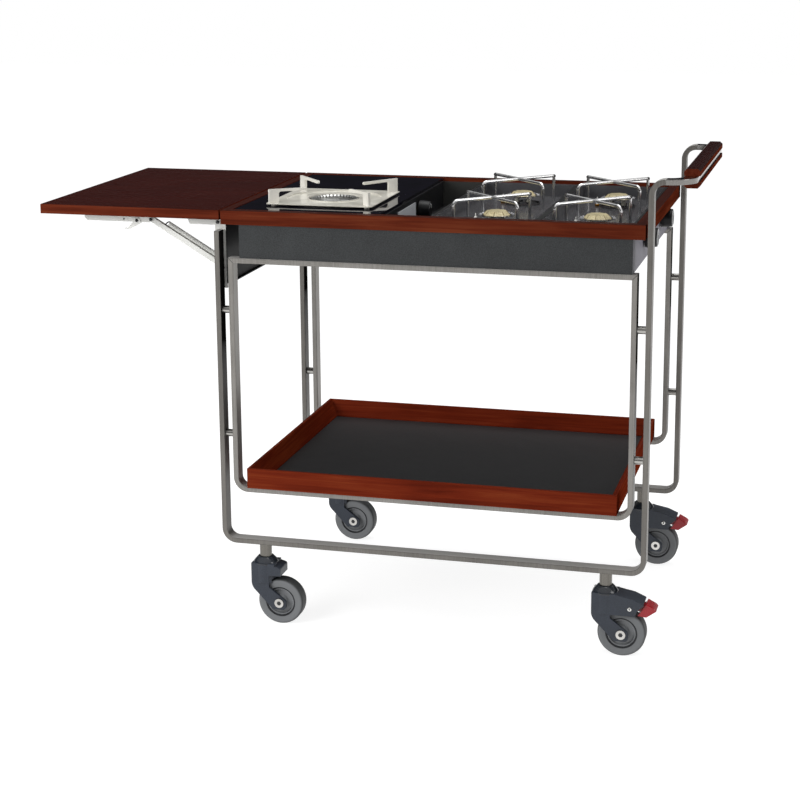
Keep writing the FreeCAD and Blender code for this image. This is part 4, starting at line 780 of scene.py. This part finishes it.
def tray_strips(black):
    """Flat black sealing strips along the side flanges of the two burner trays and across the divider
    between them: a low rounded section, whose width and height are powers of the cosine and sine of the
    turn, carried from front to rear, with both ends closed to a point."""
    left, right = corners("burner_tray_left"), corners("burner_tray_right")
    turn = np.linspace(0, 2 * np.pi, STRIP_SIDES, endpoint=False)
    wide, tall = [np.sign(wave) * np.abs(wave) ** STRIP_POWER for wave in (np.cos(turn), np.sin(turn))]
    height = left[1, 2] + STRIP_RISE + STRIP_HALF * tall
    strips = []
    for start, finish in ((left[0, 0], left[0, 0] + STRIP_WIDTH),
                          (left[1, 0] - STRIP_WIDTH, right[0, 0] + STRIP_WIDTH),
                          (right[1, 0] - STRIP_WIDTH, right[1, 0])):
        across = (start + finish) / 2 + (finish - start) / 2 * wide
        front, rear = [np.stack([across, np.full(STRIP_SIDES, y), height], axis=-1)
                       for y in (left[0, 1] + STRIP_INSET, left[1, 1] - STRIP_INSET)]
        front_point, rear_point = [np.repeat(row.mean(axis=0)[None, :], STRIP_SIDES, axis=0)
                                   for row in (front, rear)]
        rows = [front_point, front, rear, rear_point]
        strips.append((np.concatenate(rows), grid_faces(len(rows), STRIP_SIDES, False)))
    piece("burner_tray_strips", strips, "trolley", black)


TRIVET_WIRE = 3.5
CROSSING_BEAD, BEND_BEAD = (5.0, 3.8), (4.3, 4.0)
BEND_SINK = 0.6


def trivet_welds(dark):
    """Weld beads on each trivet, half ellipses turned round an upright axis: one where its two wires cross
    and one at each of its two sharp rear bends."""
    turn = np.linspace(-np.pi / 2, np.pi / 2, 9)
    crossing, bend = [list(zip(radius * np.cos(turn), half * np.sin(turn)))
                      for radius, half in (CROSSING_BEAD, BEND_BEAD)]
    for spot in SPOTS:
        low, high = corners(f"trivet_{spot}")
        centre, top = (low + high) / 2, high[2] - TRIVET_WIRE
        reach = (high[0] - low[0]) / 2 - TRIVET_WIRE
        beads = [turned(crossing, (centre[0], centre[1], top), 20)]
        for sign in (-1, 1):
            place = (centre[0] + sign * reach, centre[1] + reach, top - BEND_SINK)
            beads.append(turned(bend, place, 20))
        piece(f"trivet_welds_{spot}", beads, f"trivet_{spot}", dark)


COLLAR_CONE = [(26.1, -10.2), (26.7, -9.5), (26.9, -7.3), (26.5, -5.9), (24.0, -2.7), (20.0, 1.5),
               (16.8, 4.9), (15.6, 5.5), (13.6, 5.3), (13.6, 0.5)]
AXLE_SOCKET = [(0, -0.4), (5.0, -0.4), (5.0, 0.05), (4.6, 0.1), (0, 0.1)]
TYRE_GROOVE = [(29.6, -3.7), (33.0, -1.4), (33.2, -0.5), (32.0, -0.5), (29.6, -2.5)]
RIVET_INSET, EYE_RISE = 3.0, 1.0
RIB_RADIUS, RIB_HALF = 1.0, 16
# The pedal's tread: how far inside the pedal's tip and above its pin it starts and ends, and where along
# it the ribs lie
TREAD_START, TREAD_END = (4.5, 2.6), (20.0, 10.6)
TREAD_SHARES = np.linspace(0.12, 0.88, 5)


def axle_ends(name):
    """The way that each end of a caster's axle looks, and the centre of its face."""
    low, high = corners(f"axle_{name}")
    centre = (low + high) / 2
    return [(np.array((0, sign, 0)), np.array((centre[0], y, centre[2])))
            for sign, y in ((-1, low[1]), (1, high[1]))]


def brake_details(name, dark, rivet, red):
    """On a braked caster turned rivet heads with dark eyes at the pedal's pin, and five round ribs across
    the top of its tread: straight wires at even steps along the line from its start to its end."""
    pin = pivot(f"brake_{name}_press")
    rivets, eyes = [], []
    for out, end in axle_ends(name):
        spot = np.array((pin[0], end[1], pin[2])) - out * RIVET_INSET
        rivets.append(turned(head(4.4, 1.4), spot, 24, out))
        eyes.append(turned(head(1.8, 0.7), spot + out * EYE_RISE, 16, out))
    piece(f"brake_rivets_{name}", rivets, f"caster_{name}", rivet)
    piece(f"brake_rivet_eyes_{name}", eyes, f"caster_{name}", dark)
    tip = corners(f"pedal_{name}")[1, 0]
    start, finish = [np.array((tip - inside, pin[1], pin[2] + above))
                     for inside, above in (TREAD_START, TREAD_END)]
    across = np.linspace(-RIB_HALF, RIB_HALF, 9)[:, None] * np.array((0, 1.0, 0))
    ribs = [carried(across + (start + (finish - start) * share), RIB_RADIUS) for share in TREAD_SHARES]
    piece(f"pedal_ribs_{name}", ribs, f"brake_{name}", red)


def caster_details(dark, collar, rivet, red):
    """On each caster a coned collar round the stem, dark hexagons on the faces of the axle bolts as painted
    shade for their sockets, and a dark ring in the groove between hub and tyre as painted shade in the
    groove, all sections turned round the stem or the axle; and the brakes' small pieces."""
    for name in CASTERS:
        stem, top = pivot(f"caster_{name}_swivel"), corners(f"fork_{name}")[1, 2]
        cone = turned(COLLAR_CONE, (stem[0], stem[1], top), 48, closed=True)
        piece(f"fork_collar_{name}", [cone], f"caster_{name}", collar)
        ends = axle_ends(name)
        # Dark hexagons as the bolts' sockets: painted shade.
        sockets = [turned(AXLE_SOCKET, end, 6, out) for out, end in ends]
        piece(f"axle_sockets_{name}", sockets, f"caster_{name}", dark, False)
        middle = (ends[0][1] + ends[1][1]) / 2
        wall = corners(f"tyre_{name}")[1, 1] - middle[1]
        # Dark rings in the groove between hub and tyre: painted shade.
        grooves = [turned(TYRE_GROOVE, middle + out * wall, 64, out, closed=True) for out, end in ends]
        piece(f"tyre_groove_{name}", grooves, f"wheel_{name}", dark)
        if name in BRAKED:
            brake_details(name, dark, rivet, red)


MITRE_STEPS = (0.6, 5.0, 10.4)
MITRE_RISE, MITRE_RADIUS = 0.05, 0.45


def mitre_lines(dark):
    """The thin weld lines across the mitred top corners of the two inner loops: wires that run as far in
    as down, from the outer to the inner corner."""
    lines = []
    for side in SIDES:
        low, high = corners(f"{side}_inner_loop")
        for x, inward in ((low[0], 1), (high[0], -1)):
            for y in (low[1] - MITRE_RISE, high[1] + MITRE_RISE):
                path = [(x + inward * step, y, high[2] - step) for step in MITRE_STEPS]
                lines.append(carried(path, MITRE_RADIUS, 6))
    piece("loop_mitre_lines", lines, "trolley", dark)


def set_pieces():
    """The finishes of the small pieces, and the pieces."""
    black = moulded("black_pin_plastic", "#0B0B0C", "#161617", rough=0.35, grain=1.0, depth=0.2 * MM)
    # Dark steel for the spring hooks, the loops' weld lines and the rivet eyes, and painted shade for the
    # axle sockets and tyre grooves.
    dark = moulded("dark_oxide_and_painted_shade", "#17181A", "#26282B", grain=1.0, depth=0.2 * MM)
    wire = polished("galvanised_spring_wire", "#CCCCC8", "#DEDEDA", metallic=0.25, rough=0.4)
    rim = polished("knob_rim_chrome", "#9FA0A2", "#C8C9CB", metallic=1.0, rough=0.2)
    mark = moulded("white_mark_paint", "#D5D5D3", "#E8E8E6", rough=0.4, grain=1.0, depth=0.1 * MM)
    brass = polished("brown_brass_nut", "#7A4E1E", "#A87432", metallic=1.0, rough=0.3)
    ceramic = polished("glazed_white_ceramic", "#DCDBD6", "#EFEEEA", metallic=0.0, rough=0.15)
    chrome = polished("pressed_chrome_ring", "#8E8E90", "#D2D2D4", metallic=1.0, rough=0.18)
    seam = moulded("burnt_brass_joint", "#6E5E3A", "#87754A", rough=0.5, grain=1.0, depth=0.2 * MM)
    weld = moulded("burnt_weld_steel", "#1E1D1C", "#3A3836", rough=0.5, depth=0.3 * MM)
    collar = moulded("black_collar_nylon", "#191C21", "#272C34", rough=0.16, grain=1.0, depth=0.1 * MM,
                     specular=0.6)
    rivet = polished("bright_rivet", "#C8C7C4", "#E6E5E2", metallic=1.0, rough=0.2)
    red = frame["nodes"]["pedal_front_right"].data.materials[0]
    bracket_springs(wire, dark)
    bracket_pins(black)
    knob_marks(rim, mark)
    igniters(brass, ceramic)
    burner_crowns(chrome, seam)
    tray_strips(black)
    trivet_welds(weld)
    caster_details(dark, collar, rivet, red)
    mitre_lines(dark)


set_stage()
set_camera()
set_lamps()
dress_wood()
dress_frame()
dress_hob()
dress_casters()
set_pieces()
